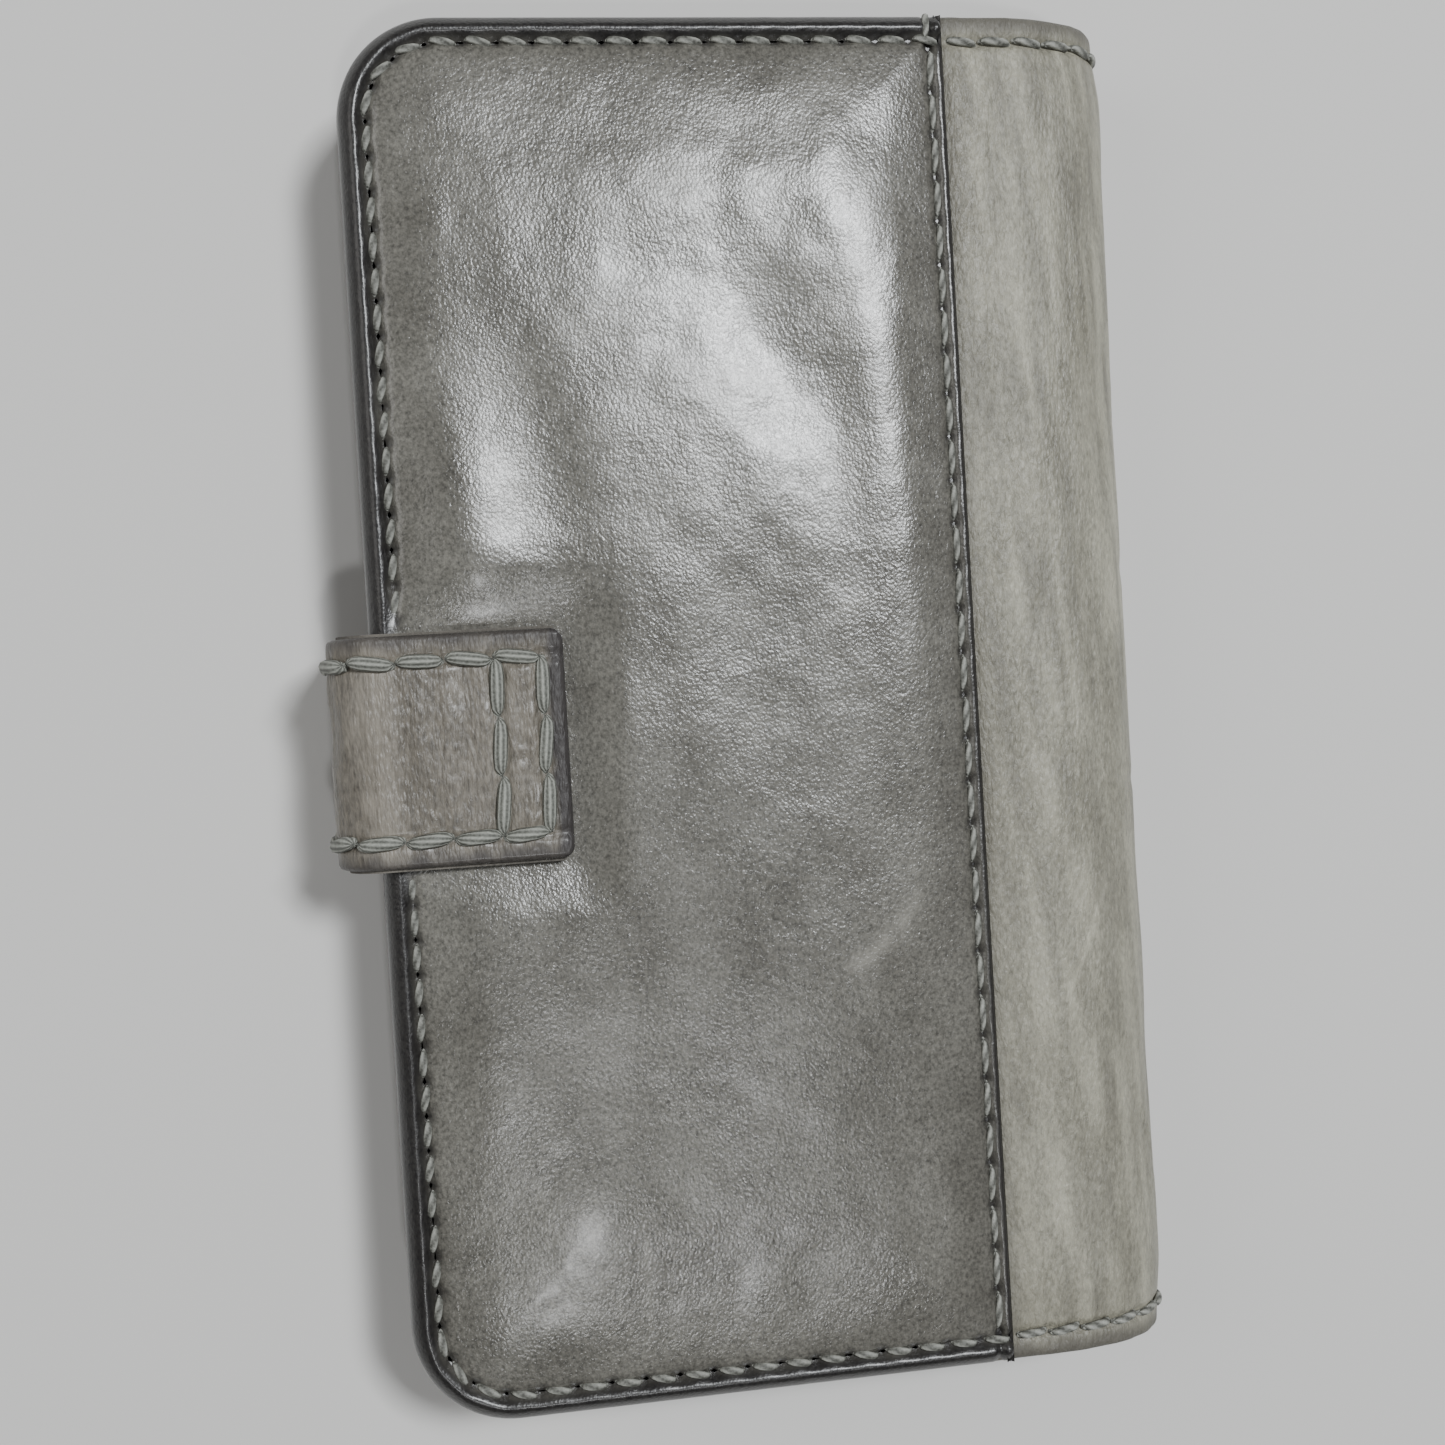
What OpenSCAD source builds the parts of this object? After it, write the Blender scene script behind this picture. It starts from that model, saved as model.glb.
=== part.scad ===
/* [Phone] */
// Length of the phone that the case is made for
phone_l = 147; // [130:1:185]
// Width of the phone
phone_w = 72; // [60:1:92]
// Thickness of the phone
phone_t = 8; // [6.5:0.1:10]

/* [Phone shell] */
// Wall of the shell beside the phone
shell_wall = 1.5; // [1.2:0.1:2.2]
// Floor of the shell under the phone
shell_floor = 1.1; // [0.8:0.1:2]
// Room around the phone on each side
shell_clear = 0.1; // [0:0.05:0.4]
// Thickness of the lip that holds the phone in
lip_t = 0.6; // [0.4:0.1:1.2]
// How far the lip reaches over the phone
lip_reach = 0.9; // [0.4:0.1:1.6]
// Outer corner radius of the shell
shell_r = 9; // [7:0.5:12]
// Thickness of the adhesive pad under the shell
pad_t = 0.4; // [0.2:0.1:0.8]

/* [Covers] */
// Leather of the two outer panels
panel_t = 1.2; // [0.9:0.1:1.8]
// Stiffening board of the back cover, as thick as the spine leather beside it
leather_t = 1.2; // [0.9:0.1:1.8]
// Stiffening board of the front cover
front_board_t = 1; // [0.8:0.1:1.6]
// Lining leather
lining_t = 0.7; // [0.5:0.1:1]
// One pocket sheet
sheet_t = 0.55; // [0.4:0.05:0.8]
// Gap between the closed pockets and the shell's lip
closing_gap = 0.4; // [0.3:0.1:1]
// How far the covers reach past the shell at the top and bottom ends
end_margin = 1.9; // [1:0.1:4]
// How far the covers reach past the shell at the open edge
edge_margin = 2.2; // [1.5:0.1:5]
// Room between the shell and the outside of the spine
spine_room = 11.1; // [9:0.1:16]
// Corner radius at the open edge
corner_r = 11.5; // [8:0.5:16]
// How far boards and linings stay back from the panel's edge
board_inset = 0.8; // [0.4:0.1:2]

/* [Spine] */
// Width of spine leather that shows on each face, with its curve
spine_show = 20.8; // [18:0.1:26]
// How far the curve of the spine reaches out from the flat covers
spine_reach = 14.5; // [11:0.1:17]
// How far the spine leather is tucked under each panel
tuck = 9; // [6:0.5:14]

/* [Strap] */
// Width of the strap
strap_w = 25; // [16:1:34]
// Distance of the strap's middle from the case's middle
strap_offset = 2.6; // [0:0.1:20]
// How far the strap lies onto the front cover
strap_lap = 20.8; // [16:0.1:32]
// How far the strap stands off the open edge
strap_stand = 4.75; // [4:0.05:8]
// Radius of the strap's bends
strap_bend = 5.5; // [5:0.1:8]
// Leather of the strap's outer layer
strap_t = 1.2; // [1:0.1:1.6]
// Leather of the strap's inner layer
strap_lining_t = 1; // [0.7:0.1:1.4]
// Gap between the strap and the front panel
strap_gap = 0.3; // [0.2:0.05:0.8]
// Length of the strap's end sewn between panel and lining
strap_tail = 16; // [10:1:22]
// Corner radius of the strap's tip
tip_r = 1.4; // [1.2:0.1:6]

/* [Camera window] */
// Width of the window in the shell
window_w = 32; // [16:1:36]
// Length of the window in the shell
window_l = 34; // [16:1:40]
// Corner radius of the window
window_r = 6; // [3:0.5:8]
// Distance from the shell's two outer faces to the window
window_margin = 7.5; // [6:0.5:10]
// How much wider the leather is cut on each side
window_step = 1.5; // [0.5:0.1:3]
// Distance of the window's stitching from the leather's cut
window_inset = 1.8; // [1.4:0.1:2.4]

/* [Pockets] */
// Length of a card slot along the case
slot_l = 92; // [88:1:100]
// Step from one pocket's free edge to the next
slot_step = 9; // [6:0.5:11]
// Distance from the hidden seam to the rear card slot's free edge
slot_back = 1; // [0:0.5:4]

/* [Clasp] */
// Length of the magnet across the strap
magnet_l = 15; // [8:0.5:18]
// Width of the magnet along the strap
magnet_w = 4; // [2.5:0.5:5]
// Thickness of the magnet
magnet_t = 0.8; // [0.5:0.1:0.9]
// Side of the square steel keeper plate
keeper_side = 16; // [10:1:18]
// Thickness of the keeper plate
keeper_t = 0.5; // [0.3:0.1:0.8]

/* [Stitching] */
// Distance of the edge stitching from the edge
stitch_inset = 3.1; // [2:0.1:5]
// Pitch of the edge stitching
stitch_pitch = 3.8; // [3:0.1:5]
// Pitch of the seam stitching
seam_pitch = 4.8; // [3:0.1:6]
// Distance of the seam stitching from the panel's edge
seam_inset = 1.6; // [1.2:0.1:3]
// Pitch of the strap's stitching
strap_pitch = 5.2; // [4:0.1:7]
// Distance of the strap's stitching from its edge
strap_inset = 2.3; // [1.5:0.1:4]
// Width of the thread
thread_w = 0.8; // [0.5:0.05:1.3]
// Depth of the groove that the thread lies in
groove_d = 0.35; // [0.2:0.05:0.5]

/* [Hidden] */
$fn = 64;
eps = 0.01;
over = 1;

// heights, from the table up to the front face of the closed case
board_z = panel_t;
lining_z = board_z + leather_t;
pad_z = lining_z + lining_t;
shell_z = pad_z + pad_t;
cavity_z = shell_z + shell_floor;
lip_z = cavity_z + phone_t + shell_clear;
shell_top = lip_z + lip_t;
pocket_z = shell_top + closing_gap;
front_lining_z = pocket_z + 4 * sheet_t;
front_board_z = front_lining_z + lining_t;
padding_z = front_board_z + front_board_t;
front_z = padding_z + leather_t;
top_z = front_z + panel_t;
mid_z = top_z / 2;

// plan sizes, from the open edge at -x to the spine at +x
shell_l = phone_l + 2 * (shell_wall + shell_clear);
shell_w = phone_w + 2 * (shell_wall + shell_clear);
case_l = shell_l + 2 * end_margin;
case_w = edge_margin + shell_w + spine_room;
edge_x = -case_w / 2;
end_y = case_l / 2;
shell_x = edge_x + edge_margin;
seam_x = case_w / 2 - spine_show;
curve_x = case_w / 2 - spine_reach;
wing_x = seam_x - tuck;

// spine: half ellipse of leather, split at the two points where it leans 45 degrees
spine_h = mid_z - panel_t;
fold_t = atan2(spine_h, spine_reach);
fold_x = curve_x + spine_reach * cos(fold_t);
fold_dz = spine_h * sin(fold_t);
spine_steps = 10;

// strap: flat, bend, upright side, bend, flat
strap_y = -strap_offset;
strap_x = edge_x - strap_stand;
bend_x = strap_x + strap_bend;
strap_top = top_z + strap_gap + strap_lining_t + strap_t;
bend_lo = board_z + strap_bend;
bend_hi = strap_top - strap_bend;
tip_x = edge_x + strap_lap;
base_x = edge_x + strap_tail;
strap_both = strap_t + strap_lining_t;

// camera window, toward the open edge and the end at -y
window_x = shell_x + window_margin + window_w / 2;
window_y = -shell_l / 2 + window_margin + window_l / 2;

// clasp under the two cross rows near the strap's tip
cross_outer_x = tip_x - strap_inset;
cross_inner_x = cross_outer_x - magnet_w - 1.4;
magnet_x = (cross_outer_x + cross_inner_x) / 2;

// windows in the shell's walls
port_l = 44;
port_h = 5;
volume_l = 26;
volume_y = -26;
power_l = 15;
power_y = -20;
button_h = 4.6;
side_z = cavity_z + 1.6;

// a flat outline, rounded only at the two corners toward -x
module half_round(x0, x1, hy, r) {
    translate([x0 + r, -hy]) square([x1 - x0 - r, 2 * hy]);
    translate([x0, r - hy]) square([r + eps, 2 * (hy - r)]);
    for (s = [-1, 1]) translate([x0 + r, s * (hy - r)]) circle(r);
}

// a flat outline, rounded at all four corners
module all_round(cx, cy, w, l, r) {
    translate([cx - w / 2 + r, cy - l / 2]) square([w - 2 * r, l]);
    translate([cx - w / 2, cy - l / 2 + r]) square([w, l - 2 * r]);
    for (sx = [-1, 1], sy = [-1, 1])
        translate([cx + sx * (w / 2 - r), cy + sy * (l / 2 - r)]) circle(r);
}

module slab(z, t) translate([0, 0, z]) linear_extrude(t) children();

// the leather's window, cut through the back cover
module window_cut(step) {
    translate([0, 0, -over]) linear_extrude(cavity_z + 2 * over)
        all_round(window_x, window_y, window_w + 2 * step, window_l + 2 * step, window_r + step);
}

// a cover layer that stays back from the panel's edge by inset
module layer(z, t, x1, inset) {
    slab(z, t) half_round(edge_x + inset, x1, end_y - inset, corner_r - inset);
}

// a profile drawn in x and z, swept along y between two ends
module along_y(y0, y1) {
    translate([0, y1, 0]) rotate([90, 0, 0]) linear_extrude(y1 - y0) children();
}

// the spine's cross-section between two ellipse angles and two depths
module spine_arc(t0, t1, d0, d1) {
    up = [for (i = [0 : spine_steps]) t0 + (t1 - t0) * i / spine_steps];
    down = [for (i = [0 : spine_steps]) up[spine_steps - i]];
    polygon(concat(
        [for (t = up) [curve_x + (spine_reach - d0) * cos(t), mid_z + (spine_h - d0) * sin(t)]],
        [for (t = down) [curve_x + (spine_reach - d1) * cos(t), mid_z + (spine_h - d1) * sin(t)]]
    ));
}

// a quarter-bend of the strap between two angles and two depths, centred at height z
module strap_arc(z, a0, a1, d0, d1) {
    translate([bend_x, z]) intersection() {
        difference() {
            circle(strap_bend - d0);
            circle(strap_bend - d1);
        }
        polygon([[0, 0], 2 * strap_bend * [cos(a0), sin(a0)],
            3 * strap_bend * [cos((a0 + a1) / 2), sin((a0 + a1) / 2)],
            2 * strap_bend * [cos(a1), sin(a1)]]);
    }
}

// places along the edge stitching: down one end, round the corner, along the open edge and back
stitch_r = corner_r - stitch_inset;
run_x = seam_x - (edge_x + corner_r);
run_y = case_l - 2 * corner_r;
run_arc = PI / 2 * stitch_r;
run_all = 2 * run_x + 2 * run_arc + run_y;
corner_x = edge_x + corner_r;
corner_y = end_y - corner_r;
function turn(s) = 90 * s / run_arc;
function place(s) =
    s < run_x ? [seam_x - s, end_y - stitch_inset, 0]
    : s < run_x + run_arc ? let (a = 90 + turn(s - run_x))
        [corner_x + stitch_r * cos(a), corner_y + stitch_r * sin(a), a + 90]
    : s < run_x + run_arc + run_y ? [edge_x + stitch_inset, corner_y - (s - run_x - run_arc), 90]
    : s < run_x + 2 * run_arc + run_y ? let (a = 180 + turn(s - run_x - run_arc - run_y))
        [corner_x + stitch_r * cos(a), -corner_y + stitch_r * sin(a), a + 90]
    : [corner_x + s - run_x - 2 * run_arc - run_y, -end_y + stitch_inset, 0];

stitch_n = floor(run_all / stitch_pitch);
stitch_l = 0.8 * stitch_pitch;
thread_h = groove_d - 0.05;

module stitch(x, y, a, z, l) {
    translate([x, y, z]) rotate([0, 0, a])
        translate([-l / 2, -thread_w / 2, 0]) cube([l, thread_w, thread_h]);
}

module edge_row(z) {
    for (i = [0 : stitch_n - 1]) {
        p = place((i + 0.5) * run_all / stitch_n);
        stitch(p[0], p[1], p[2], z, stitch_l);
    }
}

// the groove that the edge stitching lies in
groove_w = 2 * thread_w;
module edge_groove(z) {
    for (s = [-1, 1]) {
        translate([corner_x, s * (end_y - stitch_inset) - groove_w / 2, z])
            cube([run_x + over, groove_w, groove_d + over]);
        translate([corner_x, s * corner_y, z]) linear_extrude(groove_d + over) intersection() {
            difference() {
                circle(stitch_r + groove_w / 2);
                circle(stitch_r - groove_w / 2);
            }
            scale([1, s]) translate([-2 * corner_r, 0]) square(2 * corner_r);
        }
    }
    translate([edge_x + stitch_inset - groove_w / 2, -corner_y, z])
        cube([groove_w, 2 * corner_y, groove_d + over]);
}

module seam_groove(z) {
    translate([seam_x - seam_inset - groove_w / 2, -end_y - over, z])
        cube([groove_w, case_l + 2 * over, groove_d + over]);
}

seam_run = case_l - 2 * stitch_inset - 2 * thread_w;
seam_n = floor(seam_run / seam_pitch);
module seam_row(z) {
    for (i = [0 : seam_n - 1])
        stitch(seam_x - seam_inset, (i + 0.5) * seam_run / seam_n - seam_run / 2, 90, z,
            0.8 * seam_pitch);
}

// stitches that follow the spine's curve near both ends, between two ellipse angles
module spine_row(t0, t1, n) {
    for (i = [0 : n - 1], s = [-1, 1]) {
        t = t0 + (t1 - t0) * (i + 0.5) / n;
        lean = atan2(-spine_h * cos(t), spine_reach * sin(t));
        translate([curve_x + spine_reach * cos(t), s * (end_y - stitch_inset),
            mid_z + spine_h * sin(t)]) rotate([0, -lean, 0])
            translate([-stitch_l / 2, -thread_w / 2, 0.03]) cube([stitch_l, thread_w, thread_h]);
    }
}

module back_panel() {
    color("#6f6b66") difference() {
        slab(0, panel_t) half_round(edge_x, seam_x, end_y, corner_r);
        window_cut(window_step);
        translate([0, 0, -over]) edge_groove(0);
        translate([0, 0, -over]) seam_groove(0);
        window_groove();
    }
}

module back_board() {
    color("#8a7a62") difference() {
        layer(board_z, leather_t, wing_x - eps, board_inset);
        window_cut(window_step);
        translate([edge_x - over, strap_y - strap_w / 2, board_z - over])
            cube([strap_tail + over, strap_w, leather_t + 2 * over]);
    }
}

module back_lining() {
    color("#57524d") difference() {
        layer(lining_z, lining_t, curve_x, board_inset);
        window_cut(window_step);
    }
    color("#57524d") along_y(-end_y + board_inset, end_y - board_inset)
        spine_arc(-90, -fold_t, leather_t, leather_t + lining_t);
}

module shell_adhesive() {
    color("#d8d4c8") difference() {
        slab(pad_z, pad_t)
            all_round(shell_x + shell_w / 2, 0, shell_w - 6, shell_l - 6, shell_r - 3);
        window_cut(window_step);
    }
}

module phone_shell() {
    cx = shell_x + shell_w / 2;
    inner_w = shell_w - 2 * shell_wall;
    inner_l = shell_l - 2 * shell_wall;
    color("#26262a") difference() {
        slab(shell_z, shell_top - shell_z) all_round(cx, 0, shell_w, shell_l, shell_r);
        slab(cavity_z, phone_t + shell_clear)
            all_round(cx, 0, inner_w, inner_l, shell_r - shell_wall);
        slab(lip_z - eps, lip_t + over) all_round(cx, 0, inner_w - 2 * lip_reach,
            inner_l - 2 * lip_reach, shell_r - shell_wall - lip_reach);
        window_cut(0);
        translate([cx - port_l / 2, shell_l / 2 - shell_wall - over, side_z])
            cube([port_l, shell_wall + 2 * over, port_h]);
        translate([shell_x + shell_w - shell_wall - over, volume_y - volume_l / 2, side_z])
            cube([shell_wall + 2 * over, volume_l, button_h]);
        translate([shell_x - over, power_y - power_l / 2, side_z])
            cube([shell_wall + 2 * over, power_l, button_h]);
    }
}

module spine_back_wing() {
    color("#97938a") slab(board_z, leather_t)
        translate([wing_x, -end_y]) square([curve_x - wing_x, case_l]);
    color("#97938a") along_y(-end_y, end_y) spine_arc(-90, -fold_t, 0, leather_t);
}

module strap_base() {
    y0 = strap_y - strap_w / 2;
    color("#6e675f") translate([bend_x, y0, board_z])
        cube([base_x - bend_x, strap_w, strap_t]);
    color("#6e675f") along_y(y0, y0 + strap_w) strap_arc(bend_lo, 225, 270, 0, strap_t);
}

module strap_base_lining() {
    y0 = strap_y - strap_w / 2;
    color("#5c554e") translate([bend_x, y0, board_z + strap_t])
        cube([edge_x + board_inset - strap_gap - bend_x, strap_w, strap_lining_t]);
    color("#5c554e") along_y(y0, y0 + strap_w)
        strap_arc(bend_lo, 225, 270, strap_t, strap_both);
}

module back_perimeter_stitching() color("#98978f") edge_row(0.05);

module back_seam_stitching() color("#98978f") seam_row(0.05);

module spine_back_stitching() color("#98978f") spine_row(-86, -fold_t - 3, 3);

// stitches round the leather's window
ring_w = window_w + 2 * window_step + 2 * window_inset;
ring_l = window_l + 2 * window_step + 2 * window_inset;
ring_r = window_r + window_step + window_inset;
ring_nx = floor((ring_w - 2 * ring_r) / stitch_pitch);
ring_ny = floor((ring_l - 2 * ring_r) / stitch_pitch);
module window_groove() {
    translate([0, 0, -over]) linear_extrude(groove_d + over) difference() {
        all_round(window_x, window_y, ring_w + groove_w, ring_l + groove_w,
            ring_r + groove_w / 2);
        all_round(window_x, window_y, ring_w - groove_w, ring_l - groove_w,
            ring_r - groove_w / 2);
    }
}

module camera_window_stitching() {
    color("#98978f") for (s = [-1, 1]) {
        for (i = [0 : ring_nx - 1])
            stitch(window_x + (i - (ring_nx - 1) / 2) * stitch_pitch, window_y + s * ring_l / 2, 0,
                0.05, stitch_l);
        for (i = [0 : ring_ny - 1])
            stitch(window_x + s * ring_w / 2, window_y + (i - (ring_ny - 1) / 2) * stitch_pitch, 90,
                0.05, stitch_l);
    }
}

slit = 0.15;
module spine_panel() {
    color("#97938a") along_y(-end_y, end_y)
        spine_arc(slit - fold_t, fold_t - slit, 0, leather_t);
}

module spine_lining() {
    color("#57524d") along_y(-end_y + board_inset, end_y - board_inset)
        spine_arc(slit - fold_t, fold_t - slit, leather_t, leather_t + lining_t);
}

module spine_end_stitching() color("#98978f") spine_row(-fold_t + 8, fold_t - 8, 2);

module front_panel() {
    color("#77736e") difference() {
        slab(front_z, panel_t) half_round(edge_x, seam_x, end_y, corner_r);
        edge_groove(top_z - groove_d);
        seam_groove(top_z - groove_d);
    }
}

module front_padding() {
    color("#3c3a38") difference() {
        layer(padding_z, leather_t, wing_x - eps, board_inset);
        keeper_block(padding_z - over, keeper_t + over);
    }
}

module keeper_block(z, t) {
    translate([magnet_x - keeper_side / 2, strap_y - keeper_side / 2, z])
        cube([keeper_side, keeper_side, t]);
}

module front_board() color("#8a7a62") layer(front_board_z, front_board_t, curve_x - 1, board_inset);

module keeper_plate() color("#b8bcc0") keeper_block(padding_z, keeper_t);

module front_lining() {
    fold_over = curve_x - 1;
    color("#57524d") layer(front_lining_z, lining_t, fold_over + eps, board_inset);
    color("#57524d") translate([fold_over, -end_y + board_inset, front_lining_z])
        cube([1, case_l - 2 * board_inset, front_z - leather_t - front_lining_z]);
    color("#57524d") along_y(-end_y + board_inset, end_y - board_inset)
        spine_arc(fold_t, 90, leather_t, leather_t + lining_t);
}

module pocket_sheet(i, free_x) {
    z = pocket_z + i * sheet_t;
    layer(z, sheet_t, free_x, board_inset);
}

slot_x = seam_x - slot_back;
module note_pocket() color("#5f5a54") pocket_sheet(3, slot_x + 3);
module card_slot_rear() color("#6a655f") pocket_sheet(2, slot_x);
module card_slot_middle() color("#6a655f") pocket_sheet(1, slot_x - slot_step);
module card_slot_front() color("#6a655f") pocket_sheet(0, slot_x - 2 * slot_step);

module spine_front_wing() {
    color("#97938a") slab(front_z - leather_t, leather_t)
        translate([wing_x, -end_y]) square([curve_x - wing_x, case_l]);
    color("#97938a") along_y(-end_y, end_y) spine_arc(fold_t, 90, 0, leather_t);
}

module front_perimeter_stitching() color("#98978f") edge_row(top_z - groove_d);

module front_seam_stitching() color("#98978f") seam_row(top_z - groove_d);

module spine_front_stitching() color("#98978f") spine_row(fold_t + 3, 86, 3);

// two cross seams close the card slots' ends, on the face of the front slot's sheet
pocket_run = slot_x - 2 * slot_step - edge_x - 2 * stitch_inset;
pocket_n = floor(pocket_run / stitch_pitch);
module pocket_stitching() {
    color("#98978f") for (s = [-1, 1], i = [0 : pocket_n - 1])
        translate([edge_x + stitch_inset + (i + 0.5) * stitch_pitch, s * slot_l / 2,
            pocket_z - 0.2])
            translate([-stitch_l / 2, -thread_w / 2, 0]) cube([stitch_l, thread_w, 0.2]);
}

// the strap's upright side between the two folds
module side_profile(d0, d1) {
    strap_arc(bend_lo, 180, 225, d0, d1);
    translate([strap_x + d0, bend_lo - eps]) square([d1 - d0, bend_hi - bend_lo + 2 * eps]);
    strap_arc(bend_hi, 135, 180, d0, d1);
}

module strap_side_outer() {
    y0 = strap_y - strap_w / 2;
    color("#6e675f") along_y(y0, y0 + strap_w) side_profile(0, strap_t);
}

module strap_side_lining() {
    y0 = strap_y - strap_w / 2;
    color("#5c554e") along_y(y0, y0 + strap_w) side_profile(strap_t, strap_both);
}

side_n = floor((bend_hi - bend_lo) / strap_pitch);
module strap_side_stitching() {
    color("#98978f") for (s = [-1, 1], i = [0 : side_n - 1])
        translate([strap_x - thread_h, strap_y + s * (strap_w / 2 - strap_inset) - thread_w / 2,
            mid_z + strap_gap + (i - (side_n - 1) / 2) * strap_pitch - 0.4 * strap_pitch])
            cube([thread_h, thread_w, 0.8 * strap_pitch]);
}

// the flat of the strap, with two rounded corners at its tip
module tip_flat(z, t) {
    slab(z, t) translate([0, strap_y]) {
        translate([bend_x, -strap_w / 2]) square([tip_x - tip_r - bend_x, strap_w]);
        translate([bend_x, tip_r - strap_w / 2])
            square([tip_x - bend_x, strap_w - 2 * tip_r]);
        for (s = [-1, 1]) translate([tip_x - tip_r, s * (strap_w / 2 - tip_r)]) circle(tip_r);
    }
}

module magnet_block(extra) {
    translate([magnet_x - magnet_w / 2 - extra, strap_y - magnet_l / 2 - extra,
        strap_top - strap_t - magnet_t])
        cube([magnet_w + 2 * extra, magnet_l + 2 * extra, magnet_t + extra]);
}

module strap_tip_outer() {
    y0 = strap_y - strap_w / 2;
    color("#6e675f") tip_flat(strap_top - strap_t, strap_t);
    color("#6e675f") along_y(y0, y0 + strap_w) strap_arc(bend_hi, 90, 135, 0, strap_t);
}

module strap_tip_lining() {
    y0 = strap_y - strap_w / 2;
    color("#5c554e") difference() {
        tip_flat(strap_top - strap_both, strap_lining_t);
        magnet_block(0);
        magnet_block(0.001);
    }
    color("#5c554e") along_y(y0, y0 + strap_w) strap_arc(bend_hi, 90, 135, strap_t, strap_both);
}

module strap_magnet() color("#c4c6c8") magnet_block(0);

lap_run = cross_outer_x - bend_x;
lap_n = floor(lap_run / strap_pitch);
cross_n = 4;
cross_pitch = (strap_w - 2 * strap_inset) / cross_n;
module strap_tip_stitching() {
    color("#98978f") {
        for (s = [-1, 1], i = [0 : lap_n - 1])
            stitch(cross_outer_x - (i + 0.5) * lap_run / lap_n,
                strap_y + s * (strap_w / 2 - strap_inset), 0, strap_top, 0.8 * lap_run / lap_n);
        for (x = [cross_outer_x, cross_inner_x], i = [0 : cross_n - 1])
            stitch(x, strap_y + (i - (cross_n - 1) / 2) * cross_pitch, 90, strap_top,
                0.7 * cross_pitch);
    }
}

back_panel();
back_board();
back_lining();
shell_adhesive();
phone_shell();
spine_back_wing();
strap_base();
strap_base_lining();
back_perimeter_stitching();
back_seam_stitching();
spine_back_stitching();
camera_window_stitching();
spine_panel();
spine_lining();
spine_end_stitching();
front_panel();
front_padding();
front_board();
keeper_plate();
front_lining();
note_pocket();
card_slot_rear();
card_slot_middle();
card_slot_front();
spine_front_wing();
front_perimeter_stitching();
front_seam_stitching();
spine_front_stitching();
pocket_stitching();
strap_side_outer();
strap_side_lining();
strap_side_stitching();
strap_tip_outer();
strap_tip_lining();
strap_magnet();
strap_tip_stitching();
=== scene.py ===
"""A grey leather folio case for a phone: two stitched covers, a rounded spine, a wrap-over strap,
card pockets inside the front cover and a moulded shell inside the back cover."""

import math

import bmesh
import bpy
import numpy as np
from mathutils import Matrix, Vector


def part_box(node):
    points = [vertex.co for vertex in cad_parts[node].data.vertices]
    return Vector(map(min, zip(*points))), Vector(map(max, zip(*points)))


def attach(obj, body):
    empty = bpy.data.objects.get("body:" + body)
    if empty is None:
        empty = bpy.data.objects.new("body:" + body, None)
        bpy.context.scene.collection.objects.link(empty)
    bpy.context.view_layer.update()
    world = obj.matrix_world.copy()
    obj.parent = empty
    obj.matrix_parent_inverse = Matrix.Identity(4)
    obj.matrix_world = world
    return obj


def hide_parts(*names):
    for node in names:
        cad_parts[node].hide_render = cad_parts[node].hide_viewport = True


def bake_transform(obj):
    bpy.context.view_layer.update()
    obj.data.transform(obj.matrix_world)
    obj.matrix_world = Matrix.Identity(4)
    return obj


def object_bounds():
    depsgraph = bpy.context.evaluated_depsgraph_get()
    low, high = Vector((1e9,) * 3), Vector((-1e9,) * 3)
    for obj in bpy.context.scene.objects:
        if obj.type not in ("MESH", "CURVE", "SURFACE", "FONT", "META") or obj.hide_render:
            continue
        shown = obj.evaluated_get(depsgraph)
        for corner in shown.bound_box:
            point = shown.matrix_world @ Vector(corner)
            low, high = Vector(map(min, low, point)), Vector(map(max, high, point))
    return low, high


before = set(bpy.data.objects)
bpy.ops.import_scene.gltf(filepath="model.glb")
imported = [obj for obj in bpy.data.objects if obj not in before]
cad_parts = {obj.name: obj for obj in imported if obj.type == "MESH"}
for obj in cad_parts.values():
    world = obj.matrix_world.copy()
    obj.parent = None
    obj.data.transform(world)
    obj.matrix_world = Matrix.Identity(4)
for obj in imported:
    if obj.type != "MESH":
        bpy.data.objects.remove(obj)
cad_box = [list(v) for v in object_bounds()]
MM = 0.001


def corners_mm(node):
    """The lowest and highest corner of a frame node, in millimetres."""
    return [np.array(v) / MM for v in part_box(node)]


# ---------------------------------------------------------------------------------------------
# The studio: a pale floor, one window-like key from above right, a soft fill from the left and
# a camera that looks down on the closed case from beside its open edge.
# ---------------------------------------------------------------------------------------------
scene = bpy.context.scene

camera_data = bpy.data.cameras.new("camera")
camera_data.sensor_width = 36.0
camera_data.lens = 44.84
camera_data.clip_start = 0.01
camera = bpy.data.objects.new("camera", camera_data)
camera_place = Vector((-0.03645, 0.00258, 0.21722))
camera_target = Vector((-0.00622, -0.00151, 0.020))
camera_roll = math.radians(3.34)
gaze = (camera_target - camera_place).normalized()
level_up = (Vector((0, 1, 0)) - gaze * gaze.y).normalized()
up = Matrix.Rotation(camera_roll, 3, gaze) @ level_up
side = gaze.cross(up)
camera.matrix_world = Matrix((
    (side.x, up.x, -gaze.x, camera_place.x),
    (side.y, up.y, -gaze.y, camera_place.y),
    (side.z, up.z, -gaze.z, camera_place.z),
    (0, 0, 0, 1),
))
scene.collection.objects.link(camera)
scene.camera = camera


def softbox(name, place, aim, size, power, tint):
    """An area light at place that faces aim."""
    data = bpy.data.lights.new(name, "AREA")
    data.shape = "RECTANGLE"
    data.size, data.size_y = size
    data.energy = power
    data.color = tint
    lamp = bpy.data.objects.new(name, data)
    lamp.location = place
    lamp.rotation_euler = (Vector(aim) - Vector(place)).to_track_quat("-Z", "Y").to_euler()
    scene.collection.objects.link(lamp)


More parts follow.
